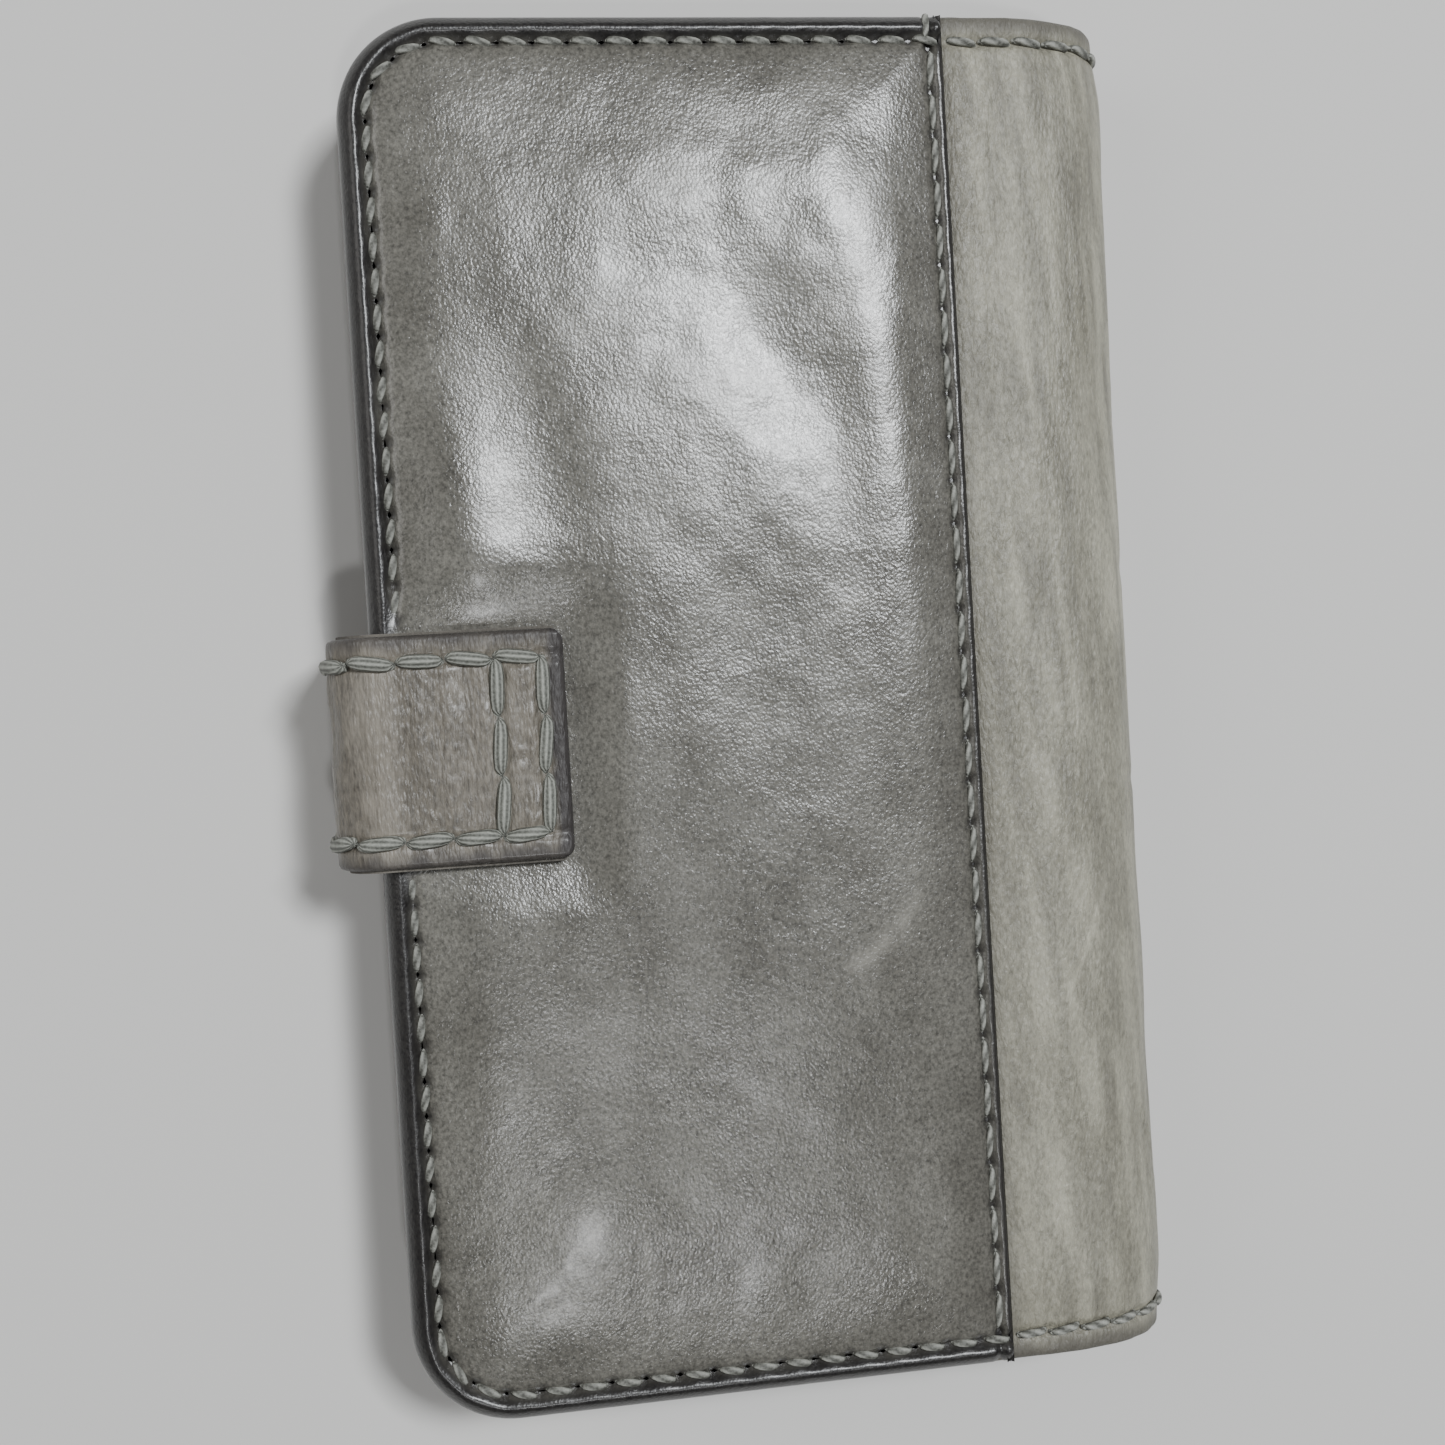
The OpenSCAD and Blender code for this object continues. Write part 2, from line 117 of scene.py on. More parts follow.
softbox("key", (0.37, 0.37, 1.25), (0, 0, 0), (0.26, 0.22), 16.5, (0.95, 0.975, 1.0))
softbox("fill", (-0.95, 0.30, 0.75), (0, 0, 0), (0.7, 0.7), 3.0, (1.0, 0.985, 0.96))
softbox("low_fill", (0.01, -0.48, 1.15), (0, -0.05, 0), (0.07, 0.07), 2.4, (0.98, 0.99, 1.0))

world = bpy.data.worlds.new("studio")
world.use_nodes = True
world.node_tree.nodes["Background"].inputs["Color"].default_value = (0.86, 0.88, 0.90, 1)
world.node_tree.nodes["Background"].inputs["Strength"].default_value = 0.13
scene.world = world

floor_mesh = bpy.data.meshes.new("floor")
floor_half = 3.0
floor_mesh.from_pydata(
    [(-floor_half, -floor_half, 0), (floor_half, -floor_half, 0),
     (floor_half, floor_half, 0), (-floor_half, floor_half, 0)], [], [(0, 1, 2, 3)])
floor = bpy.data.objects.new("floor", floor_mesh)
floor.location.z = cad_box[0][2] - 0.0001
scene.collection.objects.link(floor)
floor_paint = bpy.data.materials.new("floor_paint")
floor_paint.use_nodes = True
floor_paint.node_tree.nodes["Principled BSDF"].inputs["Base Color"].default_value = (
    0.72, 0.71, 0.69, 1)
floor_paint.node_tree.nodes["Principled BSDF"].inputs["Roughness"].default_value = 0.8
floor_mesh.materials.append(floor_paint)

# ---------------------------------------------------------------------------------------------
# The front panel: one piece of waxed, glossy leather over thin foam. Its edge is turned round
# the cover and burnished dark, it is sewn down 3 mm from the edge, and it swells in between,
# with the soft dents and bulges of a case that has been carried for years.
# ---------------------------------------------------------------------------------------------
panel_low, panel_high = corners_mm("front_panel")
open_x, seam_x = panel_low[0], panel_high[0]
end_y = panel_high[1]
front_z = panel_high[2]
panel_under_z = panel_low[2]
corner_r = 11.5
stitch_inset = 3.1
seam_inset = 1.6
lowest_pocket_z = corners_mm("card_slot_front")[0][2]
strap_low, strap_high = corners_mm("strap_tip_outer")
strap_y = (strap_low[1] + strap_high[1]) / 2
strap_half = (strap_high[1] - strap_low[1]) / 2
tip_x = strap_high[0]


def soft_noise(x, y, cell, seed):
    """Smooth random hills between -1 and 1, one about every cell millimetres."""
    table = np.random.RandomState(seed).rand(64, 64) * 2 - 1
    px, py = x / cell, y / cell
    ix, iy = np.floor(px).astype(int), np.floor(py).astype(int)
    fx, fy = px - ix, py - iy
    fx, fy = fx ** 3 * (fx * (6 * fx - 15) + 10), fy ** 3 * (fy * (6 * fy - 15) + 10)
    a, b = table[ix % 64, iy % 64], table[(ix + 1) % 64, iy % 64]
    c, d = table[ix % 64, (iy + 1) % 64], table[(ix + 1) % 64, (iy + 1) % 64]
    return (a * (1 - fx) + b * fx) * (1 - fy) + (c * (1 - fx) + d * fx) * fy


def smooth_step(v, low, high):
    t = np.clip((v - low) / (high - low), 0, 1)
    return t * t * (3 - 2 * t)


def edge_distance(x, y):
    """How far a point of a cover lies inside its three outer edges and two round corners."""
    cx, cy = open_x + corner_r - x, np.abs(y) - (end_y - corner_r)
    straight = np.minimum(x - open_x, end_y - np.abs(y))
    return np.where((cx > 0) & (cy > 0), corner_r - np.hypot(cx, cy), straight)


def graded(low, high, fine, coarse, low_margin, high_margin):
    """Grid lines from low to high that stand close together near both ends."""
    a = np.arange(0, low_margin, fine)
    b = np.arange(0, high_margin, fine)
    inner_low, inner_high = low + low_margin, high - high_margin
    middle = np.linspace(inner_low, inner_high, max(int((inner_high - inner_low) / coarse), 2))
    return np.concatenate([low + a, middle, high - b[::-1]])


def round_corners(x, y, x0, half, r):
    """Bends a square grid so that its two corners toward -x become quarter circles."""
    u = np.clip((x0 + r - x) / r, 0, None)
    v = np.clip((np.abs(y) - (half - r)) / r, 0, None)
    inside = (u > 0) & (v > 0)
    nu, nv = u * np.sqrt(1 - v * v / 2), v * np.sqrt(1 - u * u / 2)
    return (np.where(inside, x0 + r - nu * r, x),
            np.where(inside, np.sign(y) * (half - r + nv * r), y))


def edge_path():
    """The line of the edge stitching from the seam round the open edge and back, evenly spaced."""
    r = corner_r - stitch_inset
    cx, cy = open_x + corner_r, end_y - corner_r
    line = [(seam_x, end_y - stitch_inset)]
    line += [(cx + r * math.cos(a), cy + r * math.sin(a))
             for a in np.linspace(math.pi / 2, math.pi, 25)]
    line += [(cx + r * math.cos(a), -cy + r * math.sin(a))
             for a in np.linspace(math.pi, 1.5 * math.pi, 25)]
    line += [(seam_x, -end_y + stitch_inset)]
    return np.array(line)


def walk(line, count):
    """count + 1 points spaced evenly along a line."""
    step = np.hypot(*np.diff(line, axis=0).T)
    along = np.concatenate([[0], np.cumsum(step)])
    at = np.linspace(0, along[-1], count + 1)
    return np.stack([np.interp(at, along, line[:, k]) for k in range(line.shape[1])], 1)


edge_stitches = 70
edge_holes = walk(edge_path(), edge_stitches)
seam_run = 2 * end_y - 2 * stitch_inset - 1.6
seam_stitches = 30
seam_line = np.array([(seam_x - seam_inset, seam_run / 2), (seam_x - seam_inset, -seam_run / 2)])
seam_holes = walk(seam_line, seam_stitches)


def needle_dimples(x, y, holes, radius, depth):
    """The small pits where the thread is pulled down through the leather."""
    pit = np.zeros_like(x)
    for hx, hy in holes:
        near = (np.abs(x - hx) < 3 * radius) & (np.abs(y - hy) < 3 * radius)
        d2 = (x[near] - hx) ** 2 + (y[near] - hy) ** 2
        pit[near] = np.maximum(pit[near], depth * np.exp(-d2 / radius ** 2))
    return pit


# place, reach along and across, turn in degrees, and height of the worn-in bulges and dents
carried_shapes = [
    (12, 52, 9, 20, 25, 0.55), (3, 38, 6, 12, 30, -0.50), (-8, 58, 10, 6, 10, 0.30),
    (16, 20, 5, 22, 5, 0.40), (-33, 18, 4.5, 15, 4, 0.60), (-25, 30, 5, 14, 12, -0.42),
    (-24, -54, 8, 10, -20, 0.50), (-12, -44, 7, 9, 30, -0.35), (4, -30, 12, 14, 0, 0.25),
    (12, -62, 10, 7, 15, 0.12), (-6, 6, 10, 9, 40, -0.22), (-33, -34, 4, 12, -5, 0.35),
]


def worn_shapes(x, y):
    total = np.zeros_like(x)
    for cx, cy, rx, ry, turn, height in carried_shapes:
        c, s = math.cos(math.radians(turn)), math.sin(math.radians(turn))
        u, v = (x - cx) * c + (y - cy) * s, (y - cy) * c - (x - cx) * s
        total += height * np.exp(-(u / rx) ** 2 - (v / ry) ** 2)
    return total


def edge_roll(d, radius):
    """The height of an edge of this radius, below the flat, at a distance d from its end."""
    return np.sqrt(radius ** 2 - (radius - np.clip(d, 0, radius)) ** 2) - radius


def panel_relief(x, y, swell, seed):
    """Height of a cover's outer leather over its stitched line, by place."""
    de, ds = edge_distance(x, y), seam_x - x
    inner = np.minimum(de - stitch_inset, ds - seam_inset - 0.3)
    swollen = swell * (1 - np.exp(-np.clip(inner, 0, None) / 5.5))
    bead = 0.30 * np.exp(-((de - 1.7) / 0.8) ** 2)
    groove = -0.55 * np.exp(-((de - stitch_inset) / 0.55) ** 2)
    seam_groove = -0.50 * np.exp(-((ds - seam_inset) / 0.45) ** 2)
    rolls = edge_roll(de, 2.1) + edge_roll(ds, 0.7)
    hills = 0.12 * soft_noise(x, y, 11, seed) + 0.06 * soft_noise(x, y, 4.5, seed + 1)
    wrinkles = 0.020 * soft_noise(x, y, 1.7, seed + 2) + 0.011 * soft_noise(x, y, 0.9, seed + 3)
    inside = smooth_step(inner, 0, 6)
    pits = needle_dimples(x, y, edge_holes, 0.75, 0.45)
    pits = np.maximum(pits, needle_dimples(x, y, seam_holes, 0.7, 0.45))
    return (swollen + bead + groove + seam_groove + rolls + wrinkles
            + (hills + worn_shapes(x, y) * swell / 1.2) * inside - pits)


def front_height(x, y):
    """The front panel's face. It is pressed flat under the strap and stands proud round it."""
    z = front_z - 0.35 + panel_relief(x, y, 1.25, 11)
    outside = np.hypot(np.clip(x - tip_x, 0, None),
                       np.clip(np.abs(y - strap_y) - strap_half, 0, None))
    pressed = front_z - 0.25 + 0.02 * soft_noise(x, y, 2, 5)
    free = smooth_step(outside, -0.3, 7.5)
    return np.where(edge_distance(x, y) > 2.2, pressed * (1 - free) + z * free,
                    np.minimum(z, pressed + 0.4 + 9 * free))


def mesh_piece(name, points, faces):
    """A mesh object from points in millimetres, shaded smooth except over sharp folds."""
    mesh = bpy.data.meshes.new(name)
    mesh.from_pydata((np.asarray(points, float) * MM).tolist(), [], faces)
    mesh.validate()
    mesh.shade_smooth()
    mesh.set_sharp_from_angle(angle=math.radians(50))
    piece = bpy.data.objects.new(name, mesh)
    scene.collection.objects.link(piece)
    return piece


def grid_faces(nu, nv, start=0, flip=False):
    """Quads over a grid of points stored row by row."""
    i, j = np.meshgrid(np.arange(nu - 1), np.arange(nv - 1), indexing="ij")
    a = (start + i * nv + j).ravel()
    quads = np.stack([a, a + nv, a + nv + 1, a + 1], 1)
    return (quads[:, ::-1] if flip else quads).tolist()


def grid_border(nu, nv):
    """The border of such a grid, once round."""
    return ([i * nv for i in range(nu)]
            + [(nu - 1) * nv + j for j in range(1, nv)]
            + [i * nv + nv - 1 for i in range(nu - 2, -1, -1)]
            + [j for j in range(nv - 2, 0, -1)])


def cover_leather(name, height, face, rim_z, under_z):
    """A cover's outer leather: its face, the edge turned down to rim_z, and the flat behind it.
    face is 1 where it looks up and -1 where it looks down."""
    xs = graded(open_x, seam_x, 0.22, 0.62, 5.2, 3.2)
    ys = graded(-end_y, end_y, 0.22, 0.62, 5.2, 5.2)
    gx, gy = np.meshgrid(xs, ys, indexing="ij")
    x, y = round_corners(gx, gy, open_x, end_y, corner_r)
    nu, nv = x.shape
    points = np.stack([x.ravel(), y.ravel(), height(x, y).ravel()], 1)
    faces = grid_faces(nu, nv, flip=face < 0)
    border = grid_border(nu, nv)
    rim = points[border]
    cx, cy = open_x + corner_r, end_y - corner_r
    out = np.stack([np.minimum(rim[:, 0] - cx, 0),
                    np.sign(rim[:, 1]) * np.clip(np.abs(rim[:, 1]) - cy, 0, None)], 1)
    out /= np.maximum(np.hypot(*out.T), 1e-6)[:, None]
    at_seam = rim[:, 0] > seam_x - 0.01
    at_corner = at_seam & (np.abs(rim[:, 1]) > end_y - 0.01)
    out[at_seam & ~at_corner] = (1, 0)
    turned = ~at_seam | at_corner
    wall, lip = 0.78, 0.3
    lip_z = np.where(turned, rim_z, under_z)
    steps = [(0.0, rim[:, 2] - face * 0.9), (0.0, lip_z + face * lip), (lip, lip_z),
             (wall - lip / 2, lip_z), (wall, lip_z + face * lip), (wall, np.full(len(rim), under_z))]
    loops = [np.array(border)]
    for inset, z in steps:
        z = np.where(turned, z, np.clip(z, *sorted((under_z, front_z if face > 0 else 0.0))))
        ring = np.column_stack([rim[:, 0] - out[:, 0] * inset, rim[:, 1] - out[:, 1] * inset, z])
        loops.append(len(points) + np.arange(len(ring)))
        points = np.concatenate([points, ring])
    for upper, lower in zip(loops, loops[1:]):
        for k in range(len(border)):
            n = (k + 1) % len(border)
            quad = [upper[k], lower[k], lower[n], upper[n]]
            faces.append([int(v) for v in (quad if face > 0 else quad[::-1])])
    cap = [int(v) for v in loops[-1]]
    faces.append(cap[::-1] if face > 0 else cap)
    piece = mesh_piece(name, points, faces)
    tidy_normals(piece)
    return piece


def tidy_normals(piece, merge=True):
    """Merges doubles and points every face outwards."""
    shape = bmesh.new()
    shape.from_mesh(piece.data)
    if merge:
        bmesh.ops.remove_doubles(shape, verts=shape.verts, dist=0.02 * MM)
    bmesh.ops.recalc_face_normals(shape, faces=shape.faces)
    shape.to_mesh(piece.data)
    shape.free()


def vertex_mm(piece):
    flat = np.empty(len(piece.data.vertices) * 3)
    piece.data.vertices.foreach_get("co", flat)
    return flat.reshape(-1, 3) / MM


def paint(piece, name, values):
    """Stores one value for every point of a piece, for its material to read."""
    layer = piece.data.attributes.new(name, "FLOAT", "POINT")
    layer.data.foreach_set("value", np.clip(values, 0, 1).astype(np.float32))


def leave_unmarked(piece):
    """Paints a piece with no burnishing, no painted shade and no scuffs."""
    for name in ("burnish_and_shade", "scuff"):
        paint(piece, name, np.zeros(len(piece.data.vertices)))


def add_node(tree, kind, inputs=None, **settings):
    """Adds a node with its settings. Each of its inputs is a value or another node's output."""
    node = tree.nodes.new(kind)
    for name, value in settings.items():
        setattr(node, name, value)
    for socket, value in (inputs or {}).items():
        if isinstance(value, bpy.types.NodeSocket):
            tree.links.new(value, node.inputs[socket])
        else:
            node.inputs[socket].default_value = value
    return node


def maths(tree, operation, *values):
    node = add_node(tree, "ShaderNodeMath", dict(enumerate(values)), operation=operation)
    return node.outputs[0]


def vector_maths(tree, operation, inputs):
    return add_node(tree, "ShaderNodeVectorMath", inputs, operation=operation).outputs[0]


def noise(tree, vector, scale, detail, output="Fac", **shape):
    inputs = {"Vector": vector, "Scale": scale, "Detail": detail, **shape}
    return add_node(tree, "ShaderNodeTexNoise", inputs).outputs[output]


def remap(tree, value, low, high, to_low=0.0, to_high=1.0):
    inputs = {"Value": value, "From Min": low, "From Max": high, "To Min": to_low,
              "To Max": to_high}
    return add_node(tree, "ShaderNodeMapRange", inputs).outputs[0]


def mix_colour(tree, share, first, second):
    inputs = {"Factor": share, 6: first, 7: second}
    return add_node(tree, "ShaderNodeMix", inputs, data_type="RGBA").outputs[2]


def point_value(tree, name):
    return add_node(tree, "ShaderNodeAttribute", attribute_name=name).outputs["Fac"]


def new_material(name, constants):
    """A material, its tree and its shader, with some of the shader's sockets set."""
    material = bpy.data.materials.new(name)
    material.use_nodes = True
    skin = material.node_tree.nodes["Principled BSDF"]
    for socket, value in constants.items():
        skin.inputs[socket].default_value = value
    return material, material.node_tree, skin


def dress(tree, skin, colour, height, depth, roughness=None):
    """Gives the shader its colour, its relief of depth millimetres, and its roughness."""
    bump = add_node(tree, "ShaderNodeBump", {"Height": height, "Distance": depth * MM})
    tree.links.new(colour, skin.inputs["Base Color"])
    tree.links.new(bump.outputs["Normal"], skin.inputs["Normal"])
    if roughness:
        tree.links.new(roughness, skin.inputs["Roughness"])


def leather_grain_group():
    """Pebbled grain, pores and creases, as a height and two masks."""
    tree = bpy.data.node_groups.new("leather_grain", "ShaderNodeTree")
    for name, way in (("Cell", "INPUT"), ("Stretch", "INPUT"), ("Crease", "INPUT"),
                      ("Height", "OUTPUT"), ("Mottle", "OUTPUT"), ("Fleck", "OUTPUT")):
        tree.interface.new_socket(name, in_out=way, socket_type="NodeSocketFloat")
    given = add_node(tree, "NodeGroupInput").outputs
    place = add_node(tree, "ShaderNodeTexCoord").outputs["Object"]
    in_mm = vector_maths(tree, "SCALE", {0: place, "Scale": 1 / MM})
    squeeze = add_node(tree, "ShaderNodeCombineXYZ", {"X": 1.0, "Y": given["Stretch"], "Z": 1.0})
    pulled = vector_maths(tree, "MULTIPLY", {0: in_mm, 1: squeeze.outputs[0]})
    wobble = noise(tree, pulled, 0.9, 2.0, output="Color")
    shifted = vector_maths(tree, "ADD", {0: pulled, 1: wobble})
    bent = add_node(tree, "ShaderNodeMix", {"Factor": 0.35, 4: pulled, 5: shifted},
                    data_type="VECTOR").outputs[1]
    pebble = add_node(tree, "ShaderNodeTexVoronoi",
                      {"Smoothness": 0.35, "Vector": bent, "Scale": given["Cell"]},
                      feature="SMOOTH_F1")
    body = maths(tree, "SUBTRACT", 1.0, pebble.outputs["Distance"])
    rough = maths(tree, "MULTIPLY_ADD", noise(tree, bent, 5.5, 3.0), 0.55, body)
    fold = maths(tree, "SUBTRACT", noise(tree, bent, 1.5, 4.0, Distortion=0.8), 0.5)
    ridge = maths(tree, "MULTIPLY", maths(tree, "ABSOLUTE", fold), given["Crease"])
    add_node(tree, "NodeGroupOutput", {
        "Height": maths(tree, "ADD", rough, ridge),
        "Mottle": noise(tree, pulled, 0.11, 6.0, Roughness=0.62),
        "Fleck": noise(tree, pulled, 2.4, 5.0, Roughness=0.7)})
    return tree


grain_group = leather_grain_group()


def leather(name, dark, light, darkening, gloss, cell, stretch, crease, bump, coat=0.0, fleck=0.35,
            polish=0.5):
    """A leather whose colour drifts between two tones and goes to a third where burnished
    and where shade is painted. It reads the points' burnish values, with the painted shade among
    them, and their scuff values."""
    material, tree, skin = new_material(name, {
        "Coat Roughness": 0.20, "Specular IOR Level": polish, "Coat Weight": coat})
    grain = add_node(tree, "ShaderNodeGroup", {"Cell": cell, "Stretch": stretch, "Crease": crease},
                     node_tree=grain_group).outputs
    tone = mix_colour(tree, remap(tree, grain["Mottle"], 0.30, 0.70), (*dark, 1), (*light, 1))
    speck = remap(tree, grain["Fleck"], 0.30, 0.70, 1.0 - fleck, 1.0 + fleck * 0.7)
    flecked = vector_maths(tree, "SCALE", {0: tone, "Scale": speck})
    rubbed_tone = tuple(min(1, v * 1.75) for v in light) + (1,)
    rubbed = mix_colour(tree, point_value(tree, "scuff"), flecked, rubbed_tone)
    # the burnish values also hold painted shade: in the needle pits and on the spine beside the front
    # panel's edge
    burnish_and_shade = point_value(tree, "burnish_and_shade")
    uneven = maths(tree, "MULTIPLY", burnish_and_shade, remap(tree, grain["Fleck"], 0.25, 0.6, 0.72))
    colour = mix_colour(tree, uneven, rubbed, (*darkening, 1))
    shine = remap(tree, grain["Mottle"], 0.35, 0.65, *gloss)
    roughness = maths(tree, "MULTIPLY_ADD", burnish_and_shade, 0.14, shine)
    dress(tree, skin, colour, grain["Height"], bump, roughness)
    return material


panel_leather = leather(
    "waxed_panel_leather", (0.113, 0.107, 0.092), (0.183, 0.176, 0.153), (0.007, 0.0058, 0.0062),
    gloss=(0.21, 0.27), cell=3.0, stretch=0.85, crease=1.8, bump=0.030, coat=0.24, fleck=0.62,
    polish=0.60)


def arc_scuff(x, y, cx, cy, radius, low, high, width):
    """A rubbed streak along part of a circle."""
    a = np.degrees(np.arctan2(y - cy, x - cx))
    off = np.abs(np.hypot(x - cx, y - cy) - radius)
    ends = smooth_step(a, low, low + 12) * (1 - smooth_step(a, high - 12, high))
    return ends * np.exp(-(off / width) ** 2)


front_leather = cover_leather("front_leather", front_height, 1, lowest_pocket_z + 0.15,
                              panel_under_z)
at = vertex_mm(front_leather)
de, ds = edge_distance(at[:, 0], at[:, 1]), seam_x - at[:, 0]
ragged = 0.35 * soft_noise(at[:, 0], at[:, 1], 3.0, 31)
darkening = np.maximum(1 - smooth_step(de + ragged, 2.2, 3.8), 0.95 * (1 - smooth_step(ds, 0.4, 1.25)))
darkening = np.maximum(darkening, 0.12 * (1 - smooth_step(ds + 6 * ragged, 2, 9)))
# The needle pits are darkened too, as painted shade in the holes.
for holes in (edge_holes, seam_holes):
    darkening = np.maximum(darkening, needle_dimples(at[:, 0], at[:, 1], holes, 0.75, 1.0))
paint(front_leather, "burnish_and_shade", darkening)
marks = 0.75 * arc_scuff(at[:, 0], at[:, 1], 1.5, -16.0, 14.5, -75, -18, 1.0)
marks += 0.5 * arc_scuff(at[:, 0], at[:, 1], 16.0, -8.0, 20.0, 100, 122, 0.7)
marks += 0.45 * arc_scuff(at[:, 0], at[:, 1], -60.0, -62.0, 42.0, -12, 14, 0.35)
marks += 0.35 * arc_scuff(at[:, 0], at[:, 1], 40.0, -44.0, 22.0, 150, 172, 0.5)
paint(front_leather, "scuff", marks * (0.55 + 0.45 * soft_noise(at[:, 0], at[:, 1], 1.3, 8)))
front_leather.data.materials.append(panel_leather)
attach(front_leather, "front_cover")
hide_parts("front_panel")

# ---------------------------------------------------------------------------------------------
# The spine: one strip of soft, matte leather, tucked under both panels and bent round the side of
# the case. Years of opening have left fine wrinkles along it. It is made as two halves that meet
# at the middle of the spine.
# ---------------------------------------------------------------------------------------------
wing_low, wing_high = corners_mm("spine_front_wing")
spine_x, mid_z = corners_mm("spine_panel")[1][0], front_z / 2
curve_x = 29.75
spine_reach, spine_rise = spine_x - curve_x, wing_high[2] - mid_z
spine_leather_t = 1.2


def spine_path(start_x, depth, side):
    """The spine's profile in x and z, from a cover's flat to the middle of the spine."""
    turn = np.linspace(math.pi / 2, 0, 34)
    flat = np.linspace(start_x, curve_x, max(int((curve_x - start_x) / 0.5), 2))[:-1]
    x = np.concatenate([flat, curve_x + (spine_reach - depth) * np.cos(turn)])
    z = np.concatenate([np.full(len(flat), spine_rise - depth),
                        (spine_rise - depth) * np.sin(turn)])
    return np.stack([x, mid_z + side * z], 1)


def path_frame(path, outward):
    """Arc length and outward unit normal along a profile."""
    step = np.gradient(path, axis=0)
    step /= np.hypot(*step.T)[:, None]
    normal = np.stack([-step[:, 1], step[:, 0]], 1) * outward
    along = np.concatenate([[0], np.cumsum(np.hypot(*np.diff(path, axis=0).T))])
    return along, normal


def two_sided(name, face, back, shape):
    """A closed piece from the grids of points on its face and its back, walled round the border."""
    count = shape[0] * shape[1]
    faces = grid_faces(*shape) + grid_faces(*shape, start=count, flip=True)
    border = grid_border(*shape)
    for a, b in zip(border, border[1:] + border[:1]):
        faces.append([a, a + count, b + count, b])
    return mesh_piece(name, np.concatenate([face, back]), faces)


def bent_leather(name, path, outward, ys, thick, relief, back_relief=None):
    """A strip of leather swept along y. Its face stands off the profile by relief(s, y)."""
    along, normal = path_frame(path, outward)
    s, y = np.meshgrid(along, ys, indexing="ij")
    sides = []
    for offset in (relief(s, y), -thick + (back_relief(s, y) if back_relief else 0 * s)):
        x = path[:, 0][:, None] + normal[:, 0][:, None] * offset
        z = path[:, 1][:, None] + normal[:, 1][:, None] * offset
        sides.append(np.stack([x.ravel(), y.ravel(), z.ravel()], 1))
    piece = two_sided(name, *sides, s.shape)
    tidy_normals(piece, merge=False)
    return piece


spine_stitches = 6
spine_row_path = spine_path(seam_x, 0, 1)
spine_row_s = path_frame(spine_row_path, 1)[0][-1]


def spine_relief(seed):
    def relief(s, y):
        x = wing_low[0] + s
        shown = smooth_step(x, seam_x - 0.3, seam_x + 1.2)
        end = end_y - np.abs(y)
        roll = edge_roll(end, 1.1)
        groove = -0.42 * np.exp(-((end - stitch_inset) / 0.6) ** 2)
        swell = 0.35 * smooth_step(end, stitch_inset, 9)
        fine = 0.085 * soft_noise(s + 0.10 * y, y / 9, 1.3, seed)
        fine -= 0.15 * np.exp(-(soft_noise(s - 0.05 * y, y / 7, 3.1, seed + 5) / 0.12) ** 2)
        for ridge_x, ridge_y, reach in ((27.6, 62, 9), (29.3, 54, 12), (33.5, 40, 16), (26.2, 30, 12)):
            off = x - ridge_x - 0.035 * (y - ridge_y) - 0.3 * np.sin(y / 5)
            fine += 0.17 * np.exp(-(off / 0.32) ** 2 - ((y - ridge_y) / reach) ** 4)
        wave = 0.13 * soft_noise(s, y / 4, 3.4, seed + 1) + 0.16 * soft_noise(s, y, 16, seed + 2)
        crease = -0.20 * np.exp(-((s - 28 + 0.45 * (y + 51)) / 0.35) ** 2) * smooth_step(
            -np.abs(y + 53), -9, -6)
        mark = -0.25 * np.exp(-((x - 29.2) ** 2 + (y - 17) ** 2) / 0.35)
        pits = 0 * s
        for k in range(spine_stitches + 1):
            hole = seam_x - wing_low[0] + spine_row_s * k / spine_stitches
            d2 = (s - hole) ** 2 + (end - stitch_inset) ** 2
            pits = np.maximum(pits, 0.4 * np.exp(-d2 / 0.5))
        return roll + (groove + swell + fine + wave + crease + mark - pits) * shown - 0.06
    return relief


spine_leather_finish = leather(
    "soft_spine_leather", (0.217, 0.205, 0.160), (0.378, 0.364, 0.290), (0.060, 0.054, 0.050),
    gloss=(0.36, 0.46), cell=2.2, stretch=0.42, crease=2.0, bump=0.12, coat=0.0, fleck=0.42)

spine_ys = graded(-end_y, end_y, 0.25, 0.62, 5, 5)
spine_sides = {"front": 1, "back": -1}


def bend_spine(piece, cover):
    """Bakes a piece of the spine's front or back half into place; both halves are treated alike."""
    if cover == "front":
        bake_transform(piece)
    else:
        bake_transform(piece)


